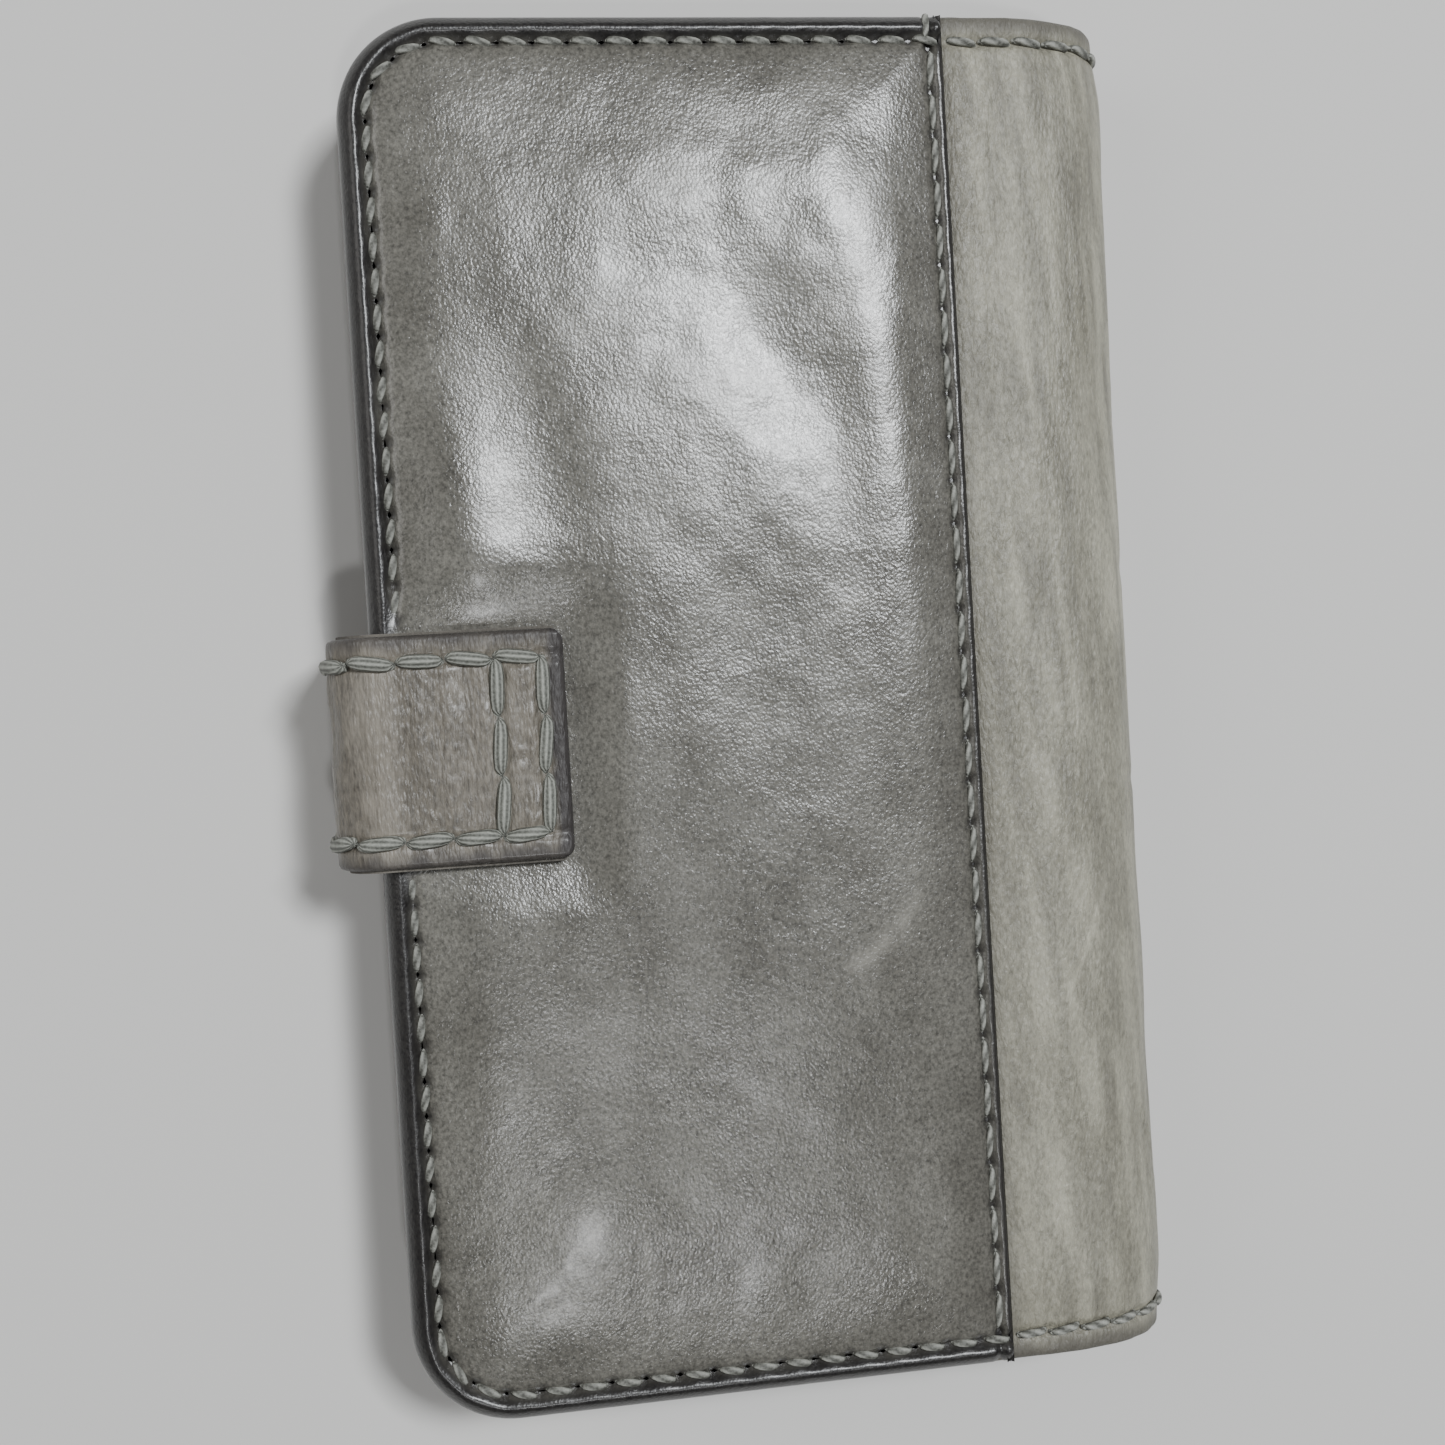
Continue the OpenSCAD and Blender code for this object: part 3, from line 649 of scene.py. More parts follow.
for cover, side_sign in spine_sides.items():
    profile = spine_path(wing_low[0], 0, side_sign)
    strip = bent_leather(f"spine_leather_{cover}", profile, side_sign, spine_ys,
                         spine_leather_t, spine_relief(41))
    at = vertex_mm(strip)
    end = end_y - np.abs(at[:, 1]) + 0.4 * soft_noise(at[:, 0], at[:, 2], 3, 12)
    by_seam = smooth_step(at[:, 0], seam_x, seam_x + 2.2)
    arc = at[:, 0] + spine_rise - np.abs(at[:, 2] - mid_z)
    streak = soft_noise(arc + 0.10 * at[:, 1], at[:, 1] / 9, 1.3, 41)
    fold = np.exp(-(soft_noise(arc - 0.05 * at[:, 1], at[:, 1] / 7, 3.1, 46) / 0.10) ** 2)
    # Painted shade: darker in a band just beside the front panel's edge, where that edge casts its shadow,
    # and in the troughs and folds of the wrinkles.
    painted_shade = np.maximum(0.35 * (1 - by_seam), 0.34 * np.clip(-streak, 0, 1) + 0.10 * fold)
    paint(strip, "burnish_and_shade", np.maximum(0.75 * (1 - smooth_step(end, 0.8, 3.4)), painted_shade))
    paint(strip, "scuff", 0.5 * arc_scuff(at[:, 0], at[:, 1], -30, 0, 71.5, -34, -14, 0.35)
          + 0.30 * np.clip(streak, 0, 1) * smooth_step(at[:, 0], 24, 27)
          + 0.20 * smooth_step(at[:, 0], 39, 44) * (0.5 + 0.5 * soft_noise(
              at[:, 1], at[:, 2], 5, 3)))
    strip.data.materials.append(spine_leather_finish)
    bend_spine(strip, cover)
    if cover == "front":
        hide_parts("spine_front_wing")
    else:
        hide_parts("spine_back_wing", "spine_panel")
    strip_width = path_frame(profile, 1)[0][-1] * MM

# ---------------------------------------------------------------------------------------------
# The back panel: the same waxed leather as the front, lying on the table, so it is flatter. Its
# window for the phone's camera is cut through after the leather is turned and sewn.
# ---------------------------------------------------------------------------------------------
back_under_z = corners_mm("back_panel")[1][2]
ring_low, ring_high = corners_mm("camera_window_stitching")
window_inset = 1.8
half_thread = 0.4
window_low = ring_low[:2] + window_inset + half_thread
window_high = ring_high[:2] - window_inset - half_thread
window_r = 7.5


def window_distance(x, y):
    """How far outside the camera window's cut a point lies."""
    cx, cy = (window_low + window_high) / 2
    qx = np.abs(x - cx) - (window_high[0] - window_low[0]) / 2 + window_r
    qy = np.abs(y - cy) - (window_high[1] - window_low[1]) / 2 + window_r
    return (np.hypot(np.clip(qx, 0, None), np.clip(qy, 0, None))
            + np.minimum(np.maximum(qx, qy), 0) - window_r)


def back_height(x, y):
    depth = -panel_relief(x, y, 0.25, 71)
    dw = np.abs(window_distance(x, y))
    depth -= edge_roll(dw, 0.7)
    depth += 0.45 * np.exp(-((dw - window_inset) / 0.5) ** 2)
    return np.clip(depth + 0.22, 0.0, None)


def window_ring(grow, step):
    """The camera window's outline, grown, with a point every step degrees of its corners."""
    r = window_r + grow
    x0, y0 = window_low - grow
    x1, y1 = window_high + grow
    ring = []
    for cx, cy, first in ((x1 - r, y1 - r, 0), (x0 + r, y1 - r, 90),
                          (x0 + r, y0 + r, 180), (x1 - r, y0 + r, 270)):
        turn = np.radians(first + np.arange(0, 91, step))
        ring += [*zip(cx + r * np.cos(turn), cy + r * np.sin(turn))]
    return ring


def prism(name, ring, low_z, high_z):
    """A block with this outline, for cutting."""
    n = len(ring)
    points = [(x, y, z) for z in (low_z, high_z) for x, y in ring]
    sides = [(k, (k + 1) % n, n + (k + 1) % n, n + k) for k in range(n)]
    return mesh_piece(name, points, [list(range(n))[::-1], list(range(n, 2 * n))] + sides)


def cut_window(piece):
    """Cuts the camera window through a layer of the back cover."""
    cut(piece, prism("window_cut", window_ring(0, 6), -5, 6))


def cut(piece, block):
    """Takes a block out of a piece, and the block away."""
    modifier = piece.modifiers.new("cut", "BOOLEAN")
    modifier.operation = "DIFFERENCE"
    modifier.solver = "EXACT"
    modifier.object = block
    bake_shape(piece)
    bpy.data.objects.remove(block)


def bake_shape(piece):
    """Turns a piece's modifiers into its mesh."""
    bpy.context.view_layer.update()
    evaluated = piece.evaluated_get(bpy.context.evaluated_depsgraph_get())
    shape = bpy.data.meshes.new_from_object(evaluated)
    piece.modifiers.clear()
    old = piece.data
    piece.data = shape
    shape.name = old.name
    bpy.data.meshes.remove(old)


back_leather = cover_leather("back_leather", back_height, -1, corners_mm("back_lining")[0][2] + 0.6,
                             back_under_z)
cut_window(back_leather)
at = vertex_mm(back_leather)
de, ds = edge_distance(at[:, 0], at[:, 1]), seam_x - at[:, 0]
dw = np.abs(window_distance(at[:, 0], at[:, 1]))
ragged = 0.35 * soft_noise(at[:, 0], at[:, 1], 3.0, 37)
darkening = np.maximum(1 - smooth_step(de + ragged, 2.2, 3.8), 0.95 * (1 - smooth_step(ds, 0.4, 1.25)))
paint(back_leather, "burnish_and_shade", np.maximum(darkening, 1 - smooth_step(dw + ragged, 0.9, 2.2)))
paint(back_leather, "scuff", 0.5 * smooth_step(soft_noise(at[:, 0], at[:, 1], 14, 77), 0.35, 0.9)
      + 0.5 * arc_scuff(at[:, 0], at[:, 1], 20, 10, 30, 100, 170, 0.5))
back_leather.data.materials.append(panel_leather)
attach(back_leather, "back_cover")
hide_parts("back_panel")

# ---------------------------------------------------------------------------------------------
# The linings: thin, smooth leather glued behind each cover and on round the inside of the spine.
# ---------------------------------------------------------------------------------------------
lining_finish = leather(
    "lining_leather", (0.085, 0.078, 0.070), (0.125, 0.116, 0.104), (0.030, 0.027, 0.026),
    gloss=(0.55, 0.66), cell=3.4, stretch=1.0, crease=0.4, bump=0.03, fleck=0.25)
lining_t = 0.7
board_inset = 0.8
lining_edge_w = 9.0


def layer_piece(name, x0, x1, low_z, thick, show, material, body, relief=None, spacing=1.2):
    """A flat leather layer of a cover, with a soft edge; show is 1 if its face looks up."""
    half, r = end_y - board_inset, corner_r - board_inset
    xs = graded(x0, x1, 0.25, spacing, 1.0, 1.0)
    ys = graded(-half, half, 0.25, spacing, 1.0, 1.0)
    gx, gy = np.meshgrid(xs, ys, indexing="ij")
    x, y = round_corners(gx, gy, x0, half, r)
    cx, cy = x0 + r - x, np.abs(y) - (half - r)
    inset = np.where((cx > 0) & (cy > 0), r - np.hypot(cx, cy),
                     np.minimum(np.minimum(x - x0, half - np.abs(y)), x1 - x))
    ease = 0.28 * thick * (1 - smooth_step(inset, 0, 0.5))
    bend = relief(x, y) if relief else 0 * x
    high, low = low_z + thick - (ease if show > 0 else 0), low_z + (0 if show > 0 else ease)
    top = np.stack([x.ravel(), y.ravel(), (high + bend * (show > 0)).ravel()], 1)
    under = np.stack([x.ravel(), y.ravel(), (low - bend * (show < 0)).ravel()], 1)
    piece = two_sided(name, top, under, x.shape)
    tidy_normals(piece)
    leave_unmarked(piece)
    piece.data.materials.append(material)
    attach(piece, body)
    return piece


def lining_relief(seed):
    def relief(s, y):
        return 0.05 * soft_noise(s, y / 5, 2.2, seed) + 0.05 * soft_noise(s, y, 9, seed + 1)
    return relief


front_lining_low = corners_mm("front_lining")[0]
back_lining_low = corners_mm("back_lining")[0]
for cover, side_sign in spine_sides.items():
    flat_z = front_lining_low[2] if cover == "front" else back_lining_low[2] + lining_t
    curve = spine_path(curve_x, spine_leather_t + lining_t + 0.02, side_sign)
    flat_x = np.linspace(open_x + board_inset + lining_edge_w, curve_x - 4.0, 30)
    rise_x = np.linspace(curve_x - 3.6, curve_x - 0.4, 8)
    rise_z = flat_z + (curve[0, 1] - flat_z) * smooth_step(rise_x, curve_x - 4.0, curve_x)
    profile = np.concatenate([np.stack([flat_x, np.full(30, flat_z)], 1),
                              np.stack([rise_x, rise_z], 1), curve])
    half = end_y - board_inset
    strip = bent_leather(f"lining_{cover}", profile, -side_sign, np.linspace(-half, half, 120),
                         lining_t * 0.9, lining_relief(81))
    if cover == "back":
        cut_window(strip)
    leave_unmarked(strip)
    strip.data.materials.append(lining_finish)
    bend_spine(strip, cover)
    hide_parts(*(["front_lining", "spine_lining"] if cover == "front" else ["back_lining"]))
    edge_low = flat_z if cover == "front" else flat_z - lining_t
    strip_edge = layer_piece(f"lining_edge_{cover}", open_x + board_inset,
                             open_x + board_inset + lining_edge_w + 0.1, edge_low,
                             lining_t * 0.98, -side_sign, lining_finish,
                             f"{cover}_cover")
    if cover == "back":
        cut_window(strip_edge)
    path_frame(profile, 1)[0][-1] * MM

# ---------------------------------------------------------------------------------------------
# The strap: a tab of brown-grey leather lined with suede, sewn in behind the back cover, bent up
# over the open edge and down onto the front, where its magnet holds it. It is made as two lengths
# that meet halfway up the side.
# ---------------------------------------------------------------------------------------------
side_low = corners_mm("strap_side_outer")[0]
base_low, base_high = corners_mm("strap_base")
tip_lining_low = corners_mm("strap_tip_lining")[0]
strap_x, strap_top, strap_bend = side_low[0], strap_high[2], 5.5
bend_x = strap_x + strap_bend
strap_t, strap_lining_t = 1.2, strap_high[2] - 1.2 - tip_lining_low[2]
strap_mid_z = (base_low[2] + strap_top) / 2
cross_rows = (tip_x - 2.5, tip_x - 7.4)
row_inset = 2.9
strap_rows = strap_half - row_inset
quarter = np.linspace(0, math.pi / 2, 26)


def strap_path(depth, upper, flat_x):
    """The strap's profile from halfway up its side to flat_x, on the front or behind the back."""
    r = strap_bend - depth
    level = strap_top if upper else base_low[2]
    turn = 1 if upper else -1
    centre_z = level - turn * strap_bend
    up_side = np.linspace(strap_mid_z, centre_z, 9)[:-1]
    flat = np.linspace(bend_x, flat_x, int((flat_x - bend_x) / 0.4))[1:]
    x = np.concatenate([0 * up_side + bend_x - r, bend_x - r * np.cos(quarter), flat])
    z = np.concatenate([up_side, centre_z + turn * r * np.sin(quarter),
                        0 * flat + centre_z + turn * r])
    return np.stack([x, z], 1)


def strap_relief(x_at, tip, seed):
    """Rolled edges, stitch grooves, lengthwise wrinkles, and the pucker between the cross rows."""
    def relief(s, y):
        x = x_at(s)
        side_d = strap_half - np.abs(y - strap_y)
        end_d = tip_x - x if tip else 9 + 0 * x
        d = np.minimum(side_d, end_d)
        roll = edge_roll(d, 0.7)
        row_d = np.abs(side_d - row_inset)
        if tip:
            in_row = side_d > row_inset - 0.7
            cross_d = np.minimum(*(np.abs(x - row) for row in cross_rows))
            row_d = np.where(in_row, np.minimum(row_d, cross_d), row_d)
        groove = -0.34 * np.exp(-(row_d / 0.6) ** 2)
        wrinkle = 0.10 * soft_noise(s, y / 6, 1.05, seed) + 0.08 * soft_noise(s, y / 2, 2.3, seed + 1)
        pebble = 0.045 * soft_noise(s, y, 0.75, seed + 2)
        wave = 0.12 * soft_noise(s, y, 5, seed + 3)
        pucker = 0 * s
        if tip:
            between = smooth_step(x, cross_rows[1] + 0.4, cross_rows[1] + 1.6) * (
                1 - smooth_step(x, cross_rows[0] - 1.6, cross_rows[0] - 0.4))
            pucker = between * smooth_step(side_d, 2.4, 4.0) * (
                0.26 + 0.16 * soft_noise(s, y, 1.7, seed + 4) + 0.10 * soft_noise(s, y, 0.8, 9))
        inside = smooth_step(d, 0.3, 2.4)
        return roll + groove + (wrinkle + wave + pebble) * inside + pucker - 0.10
    return relief


strap_finish = leather(
    "worn_strap_leather", (0.099, 0.087, 0.068), (0.206, 0.186, 0.154), (0.026, 0.023, 0.026),
    gloss=(0.30, 0.46), cell=2.8, stretch=0.30, crease=1.4, bump=0.11, coat=0.16, fleck=0.55)
suede = leather(
    "strap_lining_suede", (0.100, 0.092, 0.080), (0.150, 0.138, 0.120), (0.05, 0.045, 0.042),
    gloss=(0.85, 0.95), cell=6.0, stretch=1.0, crease=0.2, bump=0.05, fleck=0.4)
fine_y = graded(-strap_half, strap_half, 0.16, 0.3, 1.2, 1.2) + strap_y
strap_bends = {
    "upper": ("strap_side", "strap_tip", (strap_x, strap_top - strap_bend), (bend_x, strap_top)),
    "lower": ("back_cover", "strap_side", (bend_x, base_low[2]),
              (strap_x, base_low[2] + strap_bend)),
}


def bend_strap(piece, length):
    """Bakes a piece of the strap's upper or lower length into place; the fold's bodies and ends are looked
    up but not used.
    """
    low_body, high_body, start, stop = strap_bends[length]
    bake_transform(piece)


def soften_tip(piece, radius):
    """Rounds the strap's two tip corners in plan."""
    at = vertex_mm(piece)
    u = (at[:, 0] - (tip_x - radius)) / radius
    v = (np.abs(at[:, 1] - strap_y) - (strap_half - radius)) / radius
    corner = (u > 0) & (v > 0) & (at[:, 2] > strap_mid_z)
    u, v = np.where(corner, u, 0), np.where(corner, v, 0)
    at[:, 0] = np.where(corner, tip_x - radius + radius * u * np.sqrt(1 - v * v / 2), at[:, 0])
    y = strap_y + np.sign(at[:, 1] - strap_y) * (strap_half - radius
                                                 + radius * v * np.sqrt(1 - u * u / 2))
    at[:, 1] = np.where(corner, y, at[:, 1])
    piece.data.vertices.foreach_set("co", (at * MM).ravel())
    piece.data.update()


for length in ("upper", "lower"):
    upper = length == "upper"
    outer_path = strap_path(0, upper, tip_x if upper else base_high[0])
    outer_s = path_frame(outer_path, 1)[0]
    facing = 1 if upper else -1
    outer = bent_leather(
        f"strap_leather_{length}", outer_path, facing, fine_y, strap_t,
        strap_relief(lambda s: np.interp(s, outer_s, outer_path[:, 0]), upper, 51))
    lining_end = tip_x - 0.35 if upper else open_x + 0.4
    lining_path = strap_path(strap_t + 0.02, upper, lining_end)
    lining_y = strap_y + np.linspace(-strap_half - 0.3, strap_half + 0.3, 90)
    lining = bent_leather(
        f"strap_lining_{length}", lining_path, facing, lining_y, strap_lining_t - 0.04,
        lambda s, y: 0.0 * s, lambda s, y: 0.05 * (1 + soft_noise(s, y, 0.8, 77)))
    if upper:
        soften_tip(outer, 1.4)
        soften_tip(lining, 1.4)
    for piece, finish, slot in ((outer, strap_finish, "strap_leather"),
                                (lining, suede, "lining_leather")):
        at = vertex_mm(piece)
        side_d = strap_half - np.abs(at[:, 1] - strap_y)
        tip_d = np.where(at[:, 2] > strap_mid_z, tip_x - at[:, 0], 99)
        blot = 0.5 * soft_noise(at[:, 0], at[:, 1], 1.6, 14)
        by_edge = 0.75 * (1 - smooth_step(side_d + blot, 0.3, 2.3))
        by_tip = 0.9 * (1 - smooth_step(tip_d + blot, 1.3, 2.4))
        paint(piece, "burnish_and_shade", np.maximum(by_edge, by_tip) if piece is outer else 0 * side_d)
        paint(piece, "scuff", 0.25 * smooth_step(soft_noise(at[:, 0] * 3, at[:, 1], 4, 9), 0.3, 0.9)
              + 0.4 * (1 - smooth_step(np.abs(at[:, 0] - bend_x), 0, 3)) * (at[:, 2] > strap_mid_z))
        piece.data.materials.append(finish)
        bend_strap(piece, length)
    path_frame(lining_path, 1)[0][-1] * MM
    if upper:
        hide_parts("strap_tip_outer")
        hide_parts("strap_tip_lining")
    else:
        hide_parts("strap_base", "strap_side_outer")
        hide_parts("strap_base_lining", "strap_side_lining")

# ---------------------------------------------------------------------------------------------
# The stitching: heavy waxed thread, pulled down into its needle holes. The edge rows
# are short slanted stitches, and those of the seam and the strap are longer. One tree sews every
# row: it spaces stitches along a line, stands them on the leather and tilts each one.
# ---------------------------------------------------------------------------------------------


def stitch_tree():
    """Stitches spaced along a line, for every row."""
    tree = bpy.data.node_groups.new("stitch_row", "GeometryNodeTree")
    for name, kind in (("Geometry", "Geometry"), ("Length", "Float"), ("Width", "Float"),
                       ("Height", "Float"), ("Slant", "Float"), ("Jitter", "Float"),
                       ("Stitches", "Int"), ("Seed", "Int"), ("Thread", "Material")):
        tree.interface.new_socket(name, in_out="INPUT", socket_type=f"NodeSocket{kind}")
    tree.interface.new_socket("Geometry", in_out="OUTPUT", socket_type="NodeSocketGeometry")
    given = add_node(tree, "NodeGroupInput").outputs

    def joined(x, y, z):
        return add_node(tree, "ShaderNodeCombineXYZ", {0: x, 1: y, 2: z}).outputs[0]

    # one stitch: a short bowed line swept by an oval, thinner where it goes into the leather
    half = maths(tree, "MULTIPLY", given["Length"], 0.5)
    line = add_node(tree, "GeometryNodeCurvePrimitiveLine", {
        "Start": joined(maths(tree, "MULTIPLY", half, -1.0), 0.0, 0.0),
        "End": joined(half, 0.0, 0.0)})
    rings = add_node(tree, "GeometryNodeResampleCurve", {"Curve": line.outputs[0], "Count": 8})
    where = add_node(tree, "GeometryNodeInputPosition").outputs[0]
    x = add_node(tree, "ShaderNodeSeparateXYZ", {0: where}).outputs["X"]
    share = maths(tree, "DIVIDE", x, half)
    share_2 = maths(tree, "MULTIPLY", share, share)
    share_4 = maths(tree, "MULTIPLY", share_2, share_2)
    bow = maths(tree, "MULTIPLY", maths(tree, "SUBTRACT", 0.35, share_4), given["Height"])
    lean = maths(tree, "MULTIPLY", x, given["Slant"])
    bowed = add_node(tree, "GeometryNodeSetPosition",
                     {"Geometry": rings.outputs[0], "Position": joined(x, lean, bow)})
    thinner = maths(tree, "SUBTRACT", 1.0, maths(tree, "MULTIPLY", share_4, 0.45))
    thin = add_node(tree, "GeometryNodeSetCurveRadius",
                    {"Curve": bowed.outputs[0], "Radius": thinner})
    oval = add_node(tree, "GeometryNodeCurvePrimitiveCircle", {
        "Resolution": 8, "Radius": maths(tree, "MULTIPLY", given["Width"], 0.5)})
    sweep = add_node(tree, "GeometryNodeCurveToMesh", {
        "Curve": thin.outputs[0], "Profile Curve": oval.outputs[0], "Fill Caps": True})
    if "Scale" in sweep.inputs:
        radius = add_node(tree, "GeometryNodeInputRadius")
        tree.links.new(radius.outputs[0], sweep.inputs["Scale"])
    keep = add_node(tree, "GeometryNodeStoreNamedAttribute", {
        "Geometry": sweep.outputs[0], "Name": "lay", "Value": where}, data_type="FLOAT_VECTOR")

    # the row: stitches stand at every second point, between the needle holes
    row = add_node(tree, "GeometryNodeMeshToCurve", {0: given["Geometry"]})
    doubled = maths(tree, "MULTIPLY", given["Stitches"], 2.0)
    spaced = add_node(tree, "GeometryNodeResampleCurve", {
        "Curve": row.outputs[0], "Count": maths(tree, "ADD", doubled, 1.0)})
    index = add_node(tree, "GeometryNodeInputIndex").outputs[0]
    upright = add_node(tree, "GeometryNodeInputNamedAttribute", {"Name": "up"},
                       data_type="FLOAT_VECTOR")
    tangent = add_node(tree, "GeometryNodeInputTangent")
    facing = add_node(tree, "FunctionNodeAxesToRotation",
                      {0: upright.outputs["Attribute"], 1: tangent.outputs[0]},
                      primary_axis="Z", secondary_axis="X")
    place = add_node(tree, "GeometryNodeInstanceOnPoints", {
        "Points": spaced.outputs[0], "Selection": maths(tree, "MODULO", index, 2.0),
        "Instance": keep.outputs[0], "Rotation": facing.outputs[0]})
    negative = maths(tree, "MULTIPLY", given["Jitter"], -1.0)
    hand = add_node(tree, "FunctionNodeRandomValue", {
        0: joined(0.0, 0.0, negative), 1: joined(0.0, 0.0, given["Jitter"]),
        "Seed": given["Seed"]}, data_type="FLOAT_VECTOR")
    turned = add_node(tree, "GeometryNodeRotateInstances", {
        "Instances": place.outputs[0], "Rotation": hand.outputs["Value"]})
    real = add_node(tree, "GeometryNodeRealizeInstances", {0: turned.outputs[0]})
    dyed = add_node(tree, "GeometryNodeSetMaterial", {
        "Geometry": real.outputs[0], "Material": given["Thread"]})
    add_node(tree, "NodeGroupOutput", {0: dyed.outputs[0]})
    return tree


stitch_row = stitch_tree()


def thread_finish(name, dark, light, twist, strand_count):
    """Twisted waxed thread. Its strands wind round each stitch's own length, and its colour goes dark
    in the grooves between them, as painted shade.
    """
    material, tree, skin = new_material(name, {"Roughness": 0.62})
    lay = add_node(tree, "ShaderNodeAttribute", attribute_name="lay")
    parts = add_node(tree, "ShaderNodeSeparateXYZ", {0: lay.outputs["Vector"]}).outputs
    turn = maths(tree, "ARCTAN2", parts["Z"], parts["Y"])
    strands = maths(tree, "MULTIPLY", turn, strand_count)
    wind = maths(tree, "MULTIPLY_ADD", parts["X"], twist / MM, strands)
    place = add_node(tree, "ShaderNodeTexCoord").outputs["Object"]
    fibre = noise(tree, place, 3.2 / MM, 4.0)
    relief = maths(tree, "MULTIPLY_ADD", maths(tree, "SINE", wind), 0.38, fibre)
    # The colour follows the relief of the bump, dark between the strands: painted shade.
    colour = mix_colour(tree, remap(tree, relief, 0.0, 1.0), (*dark, 1), (*light, 1))
    dress(tree, skin, colour, relief, 0.12)
    return material


waxed_thread = thread_finish("waxed_thread", (0.070, 0.070, 0.060), (0.40, 0.405, 0.365), -2.6, 3.0)
flat_thread = thread_finish("flat_thread", (0.090, 0.092, 0.080), (0.39, 0.40, 0.355), -0.8, 9.0)


def sew(name, rows, thread=waxed_thread):
    """Rows of stitches joined into one piece. A row is its points and uprights in millimetres,
    how many stitches it has, and a stitch's length, width, height, slant and jitter."""
    pieces = []
    for k, (points, ups, count, length, width, height, slant, jitter) in enumerate(rows):
        mesh = bpy.data.meshes.new(f"{name}_line")
        mesh.from_pydata((np.asarray(points) * MM).tolist(),
                         [(i, i + 1) for i in range(len(points) - 1)], [])
        line = bpy.data.objects.new(mesh.name, mesh)
        scene.collection.objects.link(line)
        layer = line.data.attributes.new("up", "FLOAT_VECTOR", "POINT")
        layer.data.foreach_set("vector", np.asarray(ups, float).ravel().astype(np.float32))
        modifier = line.modifiers.new("sew", "NODES")
        modifier.node_group = stitch_row
        values = {"Length": length * MM, "Width": width * MM, "Height": height * MM,
                  "Slant": slant, "Jitter": jitter, "Stitches": int(count), "Seed": 17 + k,
                  "Thread": thread}
        for item in stitch_row.interface.items_tree:
            if item.in_out == "INPUT" and item.name in values:
                modifier[item.identifier] = values[item.name]
        bake_shape(line)
        line.data.shade_smooth()
        pieces.append(line)
    whole = bmesh.new()
    for piece in pieces:
        whole.from_mesh(piece.data)
    for piece in pieces[1:]:
        bpy.data.objects.remove(piece)
    whole.to_mesh(pieces[0].data)
    whole.free()
    piece = pieces[0]
    piece.name = piece.data.name = name
    piece.data.materials.clear()
    piece.data.materials.append(thread)
    piece.data.polygons.foreach_set("material_index", np.zeros(len(piece.data.polygons), np.int32))
    return piece


def fix_thread(piece, body, node_name):
    """A row that moves with one body and stands for one of its nodes."""
    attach(piece, body)
    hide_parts(node_name)


def flat_row(line, z_at, up):
    """A row on a cover: its points at the height of the leather, and their uprights."""
    dense = walk(np.asarray(line, float), 400)
    z = z_at(dense[:, 0], dense[:, 1])
    return np.column_stack([dense, z]), np.tile((0, 0, up), (len(dense), 1))


edge_stitch = (2.85, 0.90, 0.80, -0.20, 0.09)
long_stitch = (4.1, 0.82, 0.80, -0.07, 0.05)
groove_z = front_z - 0.90
back_groove_z = 0.88

front_edge = flat_row(edge_path(), lambda x, y: 0 * x + groove_z, 1)
front_seam = flat_row(seam_line, lambda x, y: 0 * x + groove_z + 0.08, 1)
back_edge = flat_row(edge_path(), lambda x, y: 0 * x + back_groove_z, -1)
back_seam = flat_row(seam_line, lambda x, y: 0 * x + back_groove_z, -1)

front_edge_thread = sew("front_edge_thread", [(*front_edge, edge_stitches, *edge_stitch)])
fix_thread(front_edge_thread, "front_cover", "front_perimeter_stitching")
wrap_line = np.array([(seam_line[0, 0] - 0.5, end_y - 2.9, groove_z + 0.35),
                      (seam_line[0, 0] - 0.1, end_y - 0.1, groove_z - 0.15)])
wrap_up = np.tile((0, 0.25, 0.97), (2, 1))
front_seam_thread = sew("front_seam_thread", [
    (*front_seam, seam_stitches, *long_stitch),
    (wrap_line, wrap_up, 1, 3.2, 0.9, 0.7, 0.0, 0.0)])
fix_thread(front_seam_thread, "front_cover", "front_seam_stitching")
back_edge_thread = sew("back_edge_thread", [(*back_edge, edge_stitches, *edge_stitch)])
fix_thread(back_edge_thread, "back_cover", "back_perimeter_stitching")
back_seam_thread = sew("back_seam_thread", [(*back_seam, seam_stitches, *long_stitch)])
fix_thread(back_seam_thread, "back_cover", "back_seam_stitching")

ring = window_ring(window_inset, 10)
ring_row = flat_row(ring + ring[:1], lambda x, y: 0 * x + back_groove_z, -1)
window_thread = sew("camera_window_thread", [(*ring_row, 32, *edge_stitch)])
fix_thread(window_thread, "back_cover", "camera_window_stitching")


def bent_row(path, depth, facing, y):
    """A row along a bent profile, sunk by depth, and its uprights."""
    along, normal = path_frame(path, facing)
    points = np.column_stack([path[:, 0] - normal[:, 0] * depth, 0 * along + y,
                              path[:, 1] - normal[:, 1] * depth])
    return points, np.column_stack([normal[:, 0], 0 * along, normal[:, 1]])


for cover, side_sign in spine_sides.items():
    path = spine_path(seam_x + 0.4, 0, side_sign)
    rows = [(*bent_row(path, 0.30, side_sign, s * (end_y - stitch_inset)), spine_stitches,
             3.5, 0.95, 0.75, -0.12 * s, 0.06) for s in (-1, 1)]
    thread = sew(f"spine_thread_{cover}", rows)
    bend_spine(thread, cover)
    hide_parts(*(["spine_front_stitching"] if cover == "front"
                          else ["spine_back_stitching", "spine_end_stitching"]))

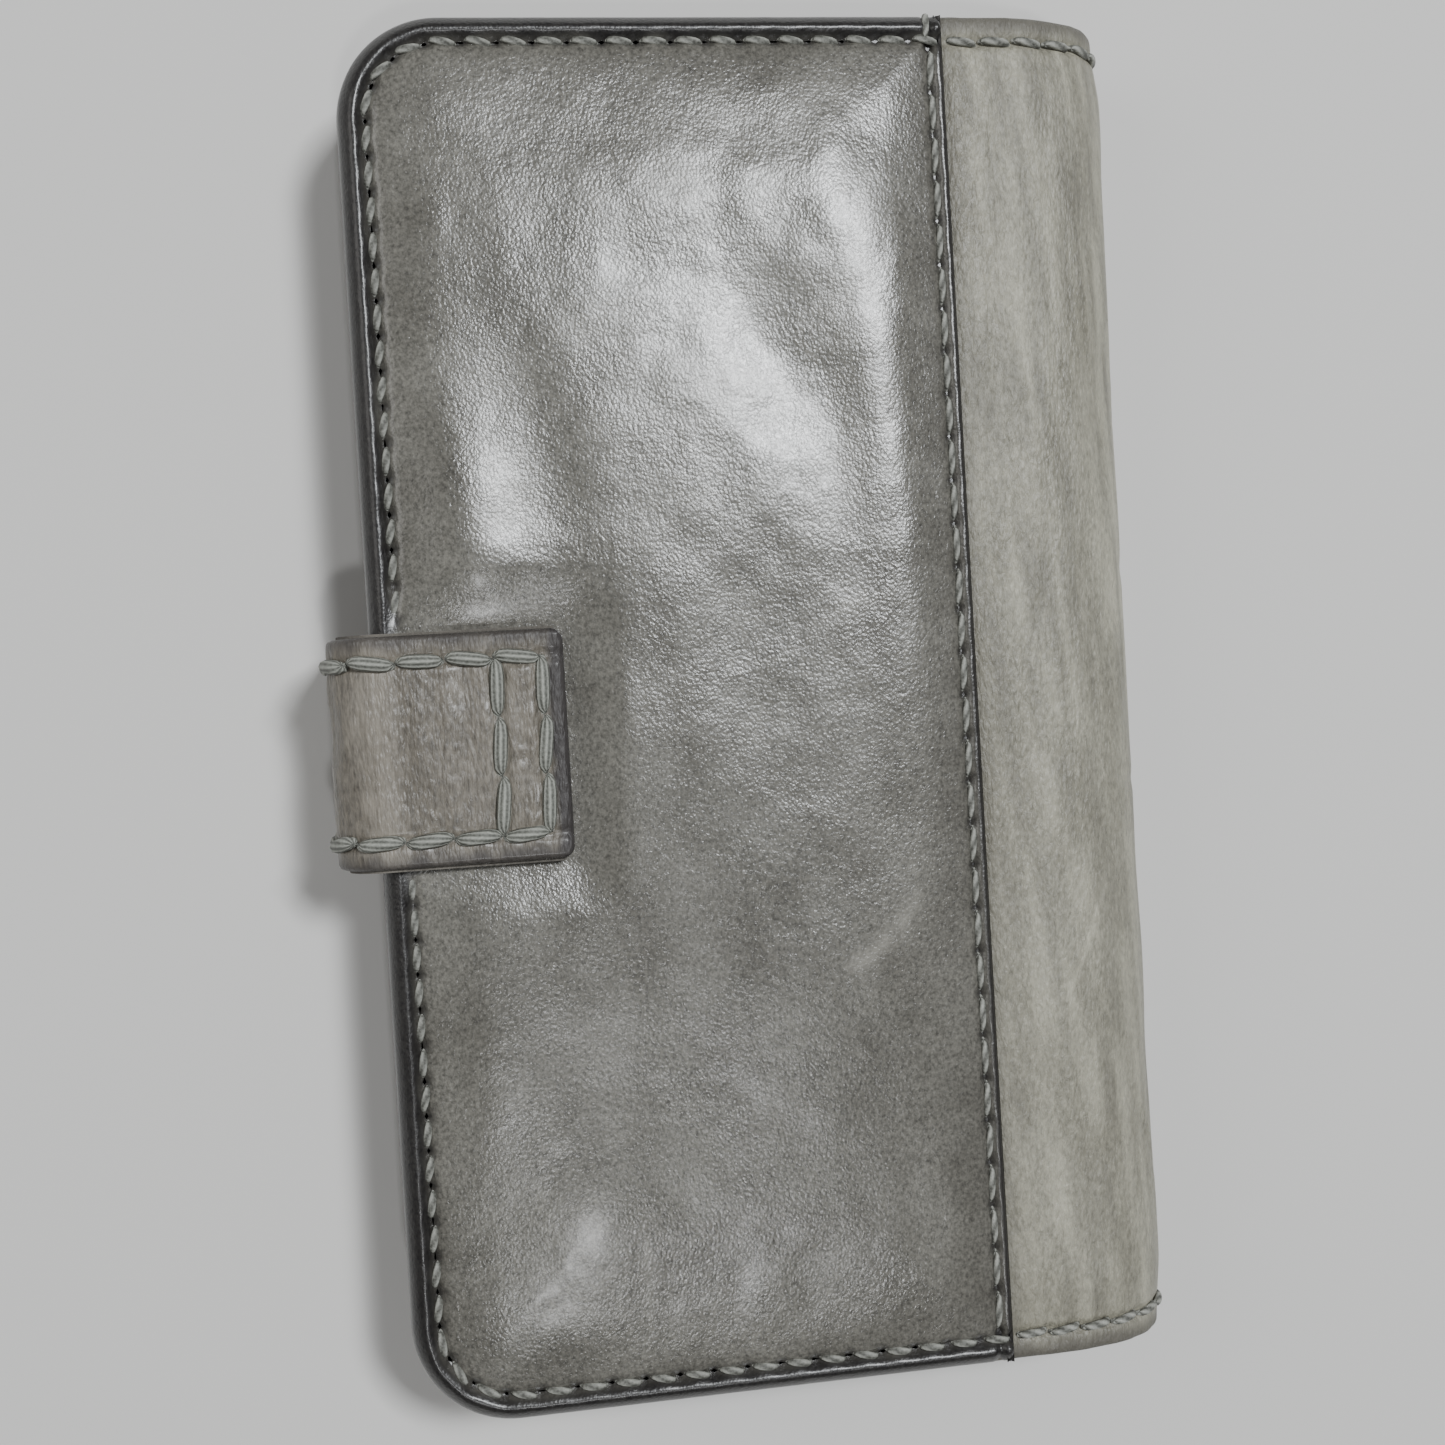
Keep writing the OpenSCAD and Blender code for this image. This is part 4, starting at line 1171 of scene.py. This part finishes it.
strap_stitch = (6.1, 1.60, 0.80, -0.09, 0.07)
upper_run = strap_path(0, True, cross_rows[0])
strap_pitch = 5.0
upper_count = round(path_frame(upper_run, 1)[0][-1] / strap_pitch)
rows = [(*bent_row(upper_run, 0.20, 1, strap_y + s * strap_rows), upper_count, 4.7,
         *strap_stitch[1:3], -0.10 * s, 0.07) for s in (-1, 1)]
for x in cross_rows:
    line = np.array([(x, strap_y + strap_rows), (x, strap_y - strap_rows)])
    rows.append((*flat_row(line, lambda px, py: 0 * px + strap_top - 0.22, 1), 3, *strap_stitch))
strap_tip_thread = sew("strap_tip_thread", rows, flat_thread)
bend_strap(strap_tip_thread, "upper")
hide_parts("strap_tip_stitching")
lower_run = strap_path(0, False, open_x + 1.0)
rows = [(*bent_row(lower_run, 0.30, -1, strap_y + s * strap_rows), 3, 4.7,
         *strap_stitch[1:3], 0.10 * s, 0.07) for s in (-1, 1)]
strap_side_thread = sew("strap_side_thread", rows, flat_thread)
bend_strap(strap_side_thread, "lower")
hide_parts("strap_side_stitching")

# ---------------------------------------------------------------------------------------------
# The pockets: four sheets of thin leather behind the front cover, each shorter than the one
# behind it, sewn together at both ends of the cards so that three cards and notes go in.
# ---------------------------------------------------------------------------------------------
pocket_finish = leather(
    "pocket_leather", (0.105, 0.098, 0.088), (0.150, 0.141, 0.128), (0.035, 0.031, 0.030),
    gloss=(0.48, 0.60), cell=3.0, stretch=1.0, crease=0.5, bump=0.04, fleck=0.25)
for k, sheet_name in enumerate(("card_slot_front", "card_slot_middle", "card_slot_rear",
                                "note_pocket")):
    sheet_low, sheet_high = corners_mm(sheet_name)
    sheet_t = sheet_high[2] - sheet_low[2]

    def pocket_relief(x, y, free_x=sheet_high[0], seed=90 + k):
        lip = 0.10 * np.exp(-((free_x - x - 1.4) / 0.35) ** 2)
        return -lip - 0.05 * (1 + soft_noise(x, y, 7, seed))

    pocket = layer_piece(f"{sheet_name}_sheet", sheet_low[0], sheet_high[0], sheet_low[2], sheet_t,
                         -1, pocket_finish, "front_cover", pocket_relief)
    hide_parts(sheet_name)
pocket_row_low, pocket_row_high = corners_mm("pocket_stitching")
pocket_rows = []
pocket_pitch = 3.9
for y in (pocket_row_low[1] + half_thread, pocket_row_high[1] - half_thread):
    line = [(pocket_row_low[0], y), (pocket_row_high[0], y)]
    count = round((pocket_row_high[0] - pocket_row_low[0]) / pocket_pitch)
    pocket_rows.append((*flat_row(line, lambda px, py: 0 * px + pocket_row_low[2] + 0.12, -1),
                        count, 2.9, 0.7, 0.4, 0.15, 0.05))
pocket_thread = sew("pocket_thread", pocket_rows)
fix_thread(pocket_thread, "front_cover", "pocket_stitching")

# ---------------------------------------------------------------------------------------------
# The inner parts keep their shapes from the frame: the moulded shell that clips round the phone
# and its glue pad, the fibre boards, the keeper plate and the strap's magnet. Only the foam behind
# the front leather is made here, with soft edges and room for the keeper plate.
# ---------------------------------------------------------------------------------------------


def inner_finish(name, dark, light, rough, grain_scale, bump, metal=0.0, stretch=1.0, sheen=0.0):
    """A plain material with a drifting tone, fine grain in its gloss and relief."""
    material, tree, skin = new_material(name, {"Metallic": metal, "Sheen Weight": sheen})
    place = add_node(tree, "ShaderNodeTexCoord").outputs["Object"]
    in_mm = add_node(tree, "ShaderNodeMapping",
                     {"Vector": place, "Scale": (1 / MM, stretch / MM, 1 / MM)}).outputs[0]
    grain = noise(tree, in_mm, grain_scale, 5.0)
    tone = maths(tree, "MULTIPLY_ADD", grain, 0.5, noise(tree, in_mm, 0.08, 3.0))
    colour = mix_colour(tree, remap(tree, tone, 0.55, 0.95), (*dark, 1), (*light, 1))
    roughness = remap(tree, grain, 0.0, 1.0, rough - 0.06, rough + 0.06)
    dress(tree, skin, colour, grain, bump, roughness)
    return material


inner_finishes = {
    "phone_shell": inner_finish("matt_shell_plastic", (0.012, 0.012, 0.013),
                                (0.022, 0.022, 0.023), 0.46, 2.6, 0.02),
    "shell_adhesive": inner_finish("glue_pad", (0.55, 0.53, 0.47), (0.66, 0.64, 0.58), 0.5, 1.5, 0.03),
    "back_board": inner_finish("fibre_board", (0.060, 0.055, 0.048), (0.105, 0.096, 0.084), 0.88, 1.9, 0.05,
                               stretch=0.3),
    "keeper_plate": inner_finish("zinced_steel", (0.44, 0.45, 0.46), (0.58, 0.59, 0.60), 0.34, 2.2,
                                 0.01, metal=1.0, stretch=0.1),
    "strap_magnet": inner_finish("nickelled_magnet", (0.50, 0.49, 0.46), (0.64, 0.62, 0.58), 0.22, 1.2,
                                 0.008, metal=1.0),
}
inner_finishes["front_board"] = inner_finishes["back_board"]
for node_name, finish in inner_finishes.items():
    node_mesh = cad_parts[node_name].data
    node_mesh.materials.clear()
    node_mesh.materials.append(finish)



foam_finish = inner_finish("foam_padding", (0.06, 0.06, 0.06), (0.10, 0.10, 0.10), 0.95, 4.0, 0.12,
                           sheen=0.2)
foam_low, foam_high = corners_mm("front_padding")
(keeper_x0, keeper_y0, keeper_low_z), (keeper_x1, keeper_y1, keeper_high_z) = corners_mm("keeper_plate")
keeper_ring = [(keeper_x0, keeper_y0), (keeper_x1, keeper_y0), (keeper_x1, keeper_y1),
               (keeper_x0, keeper_y1)]
foam = layer_piece("foam_layer", foam_low[0], foam_high[0], foam_low[2], foam_high[2] - foam_low[2],
                   1, foam_finish, "front_cover", spacing=2.5)
cut(foam, prism("keeper_room", keeper_ring, keeper_low_z - 1, keeper_high_z))
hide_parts("front_padding")
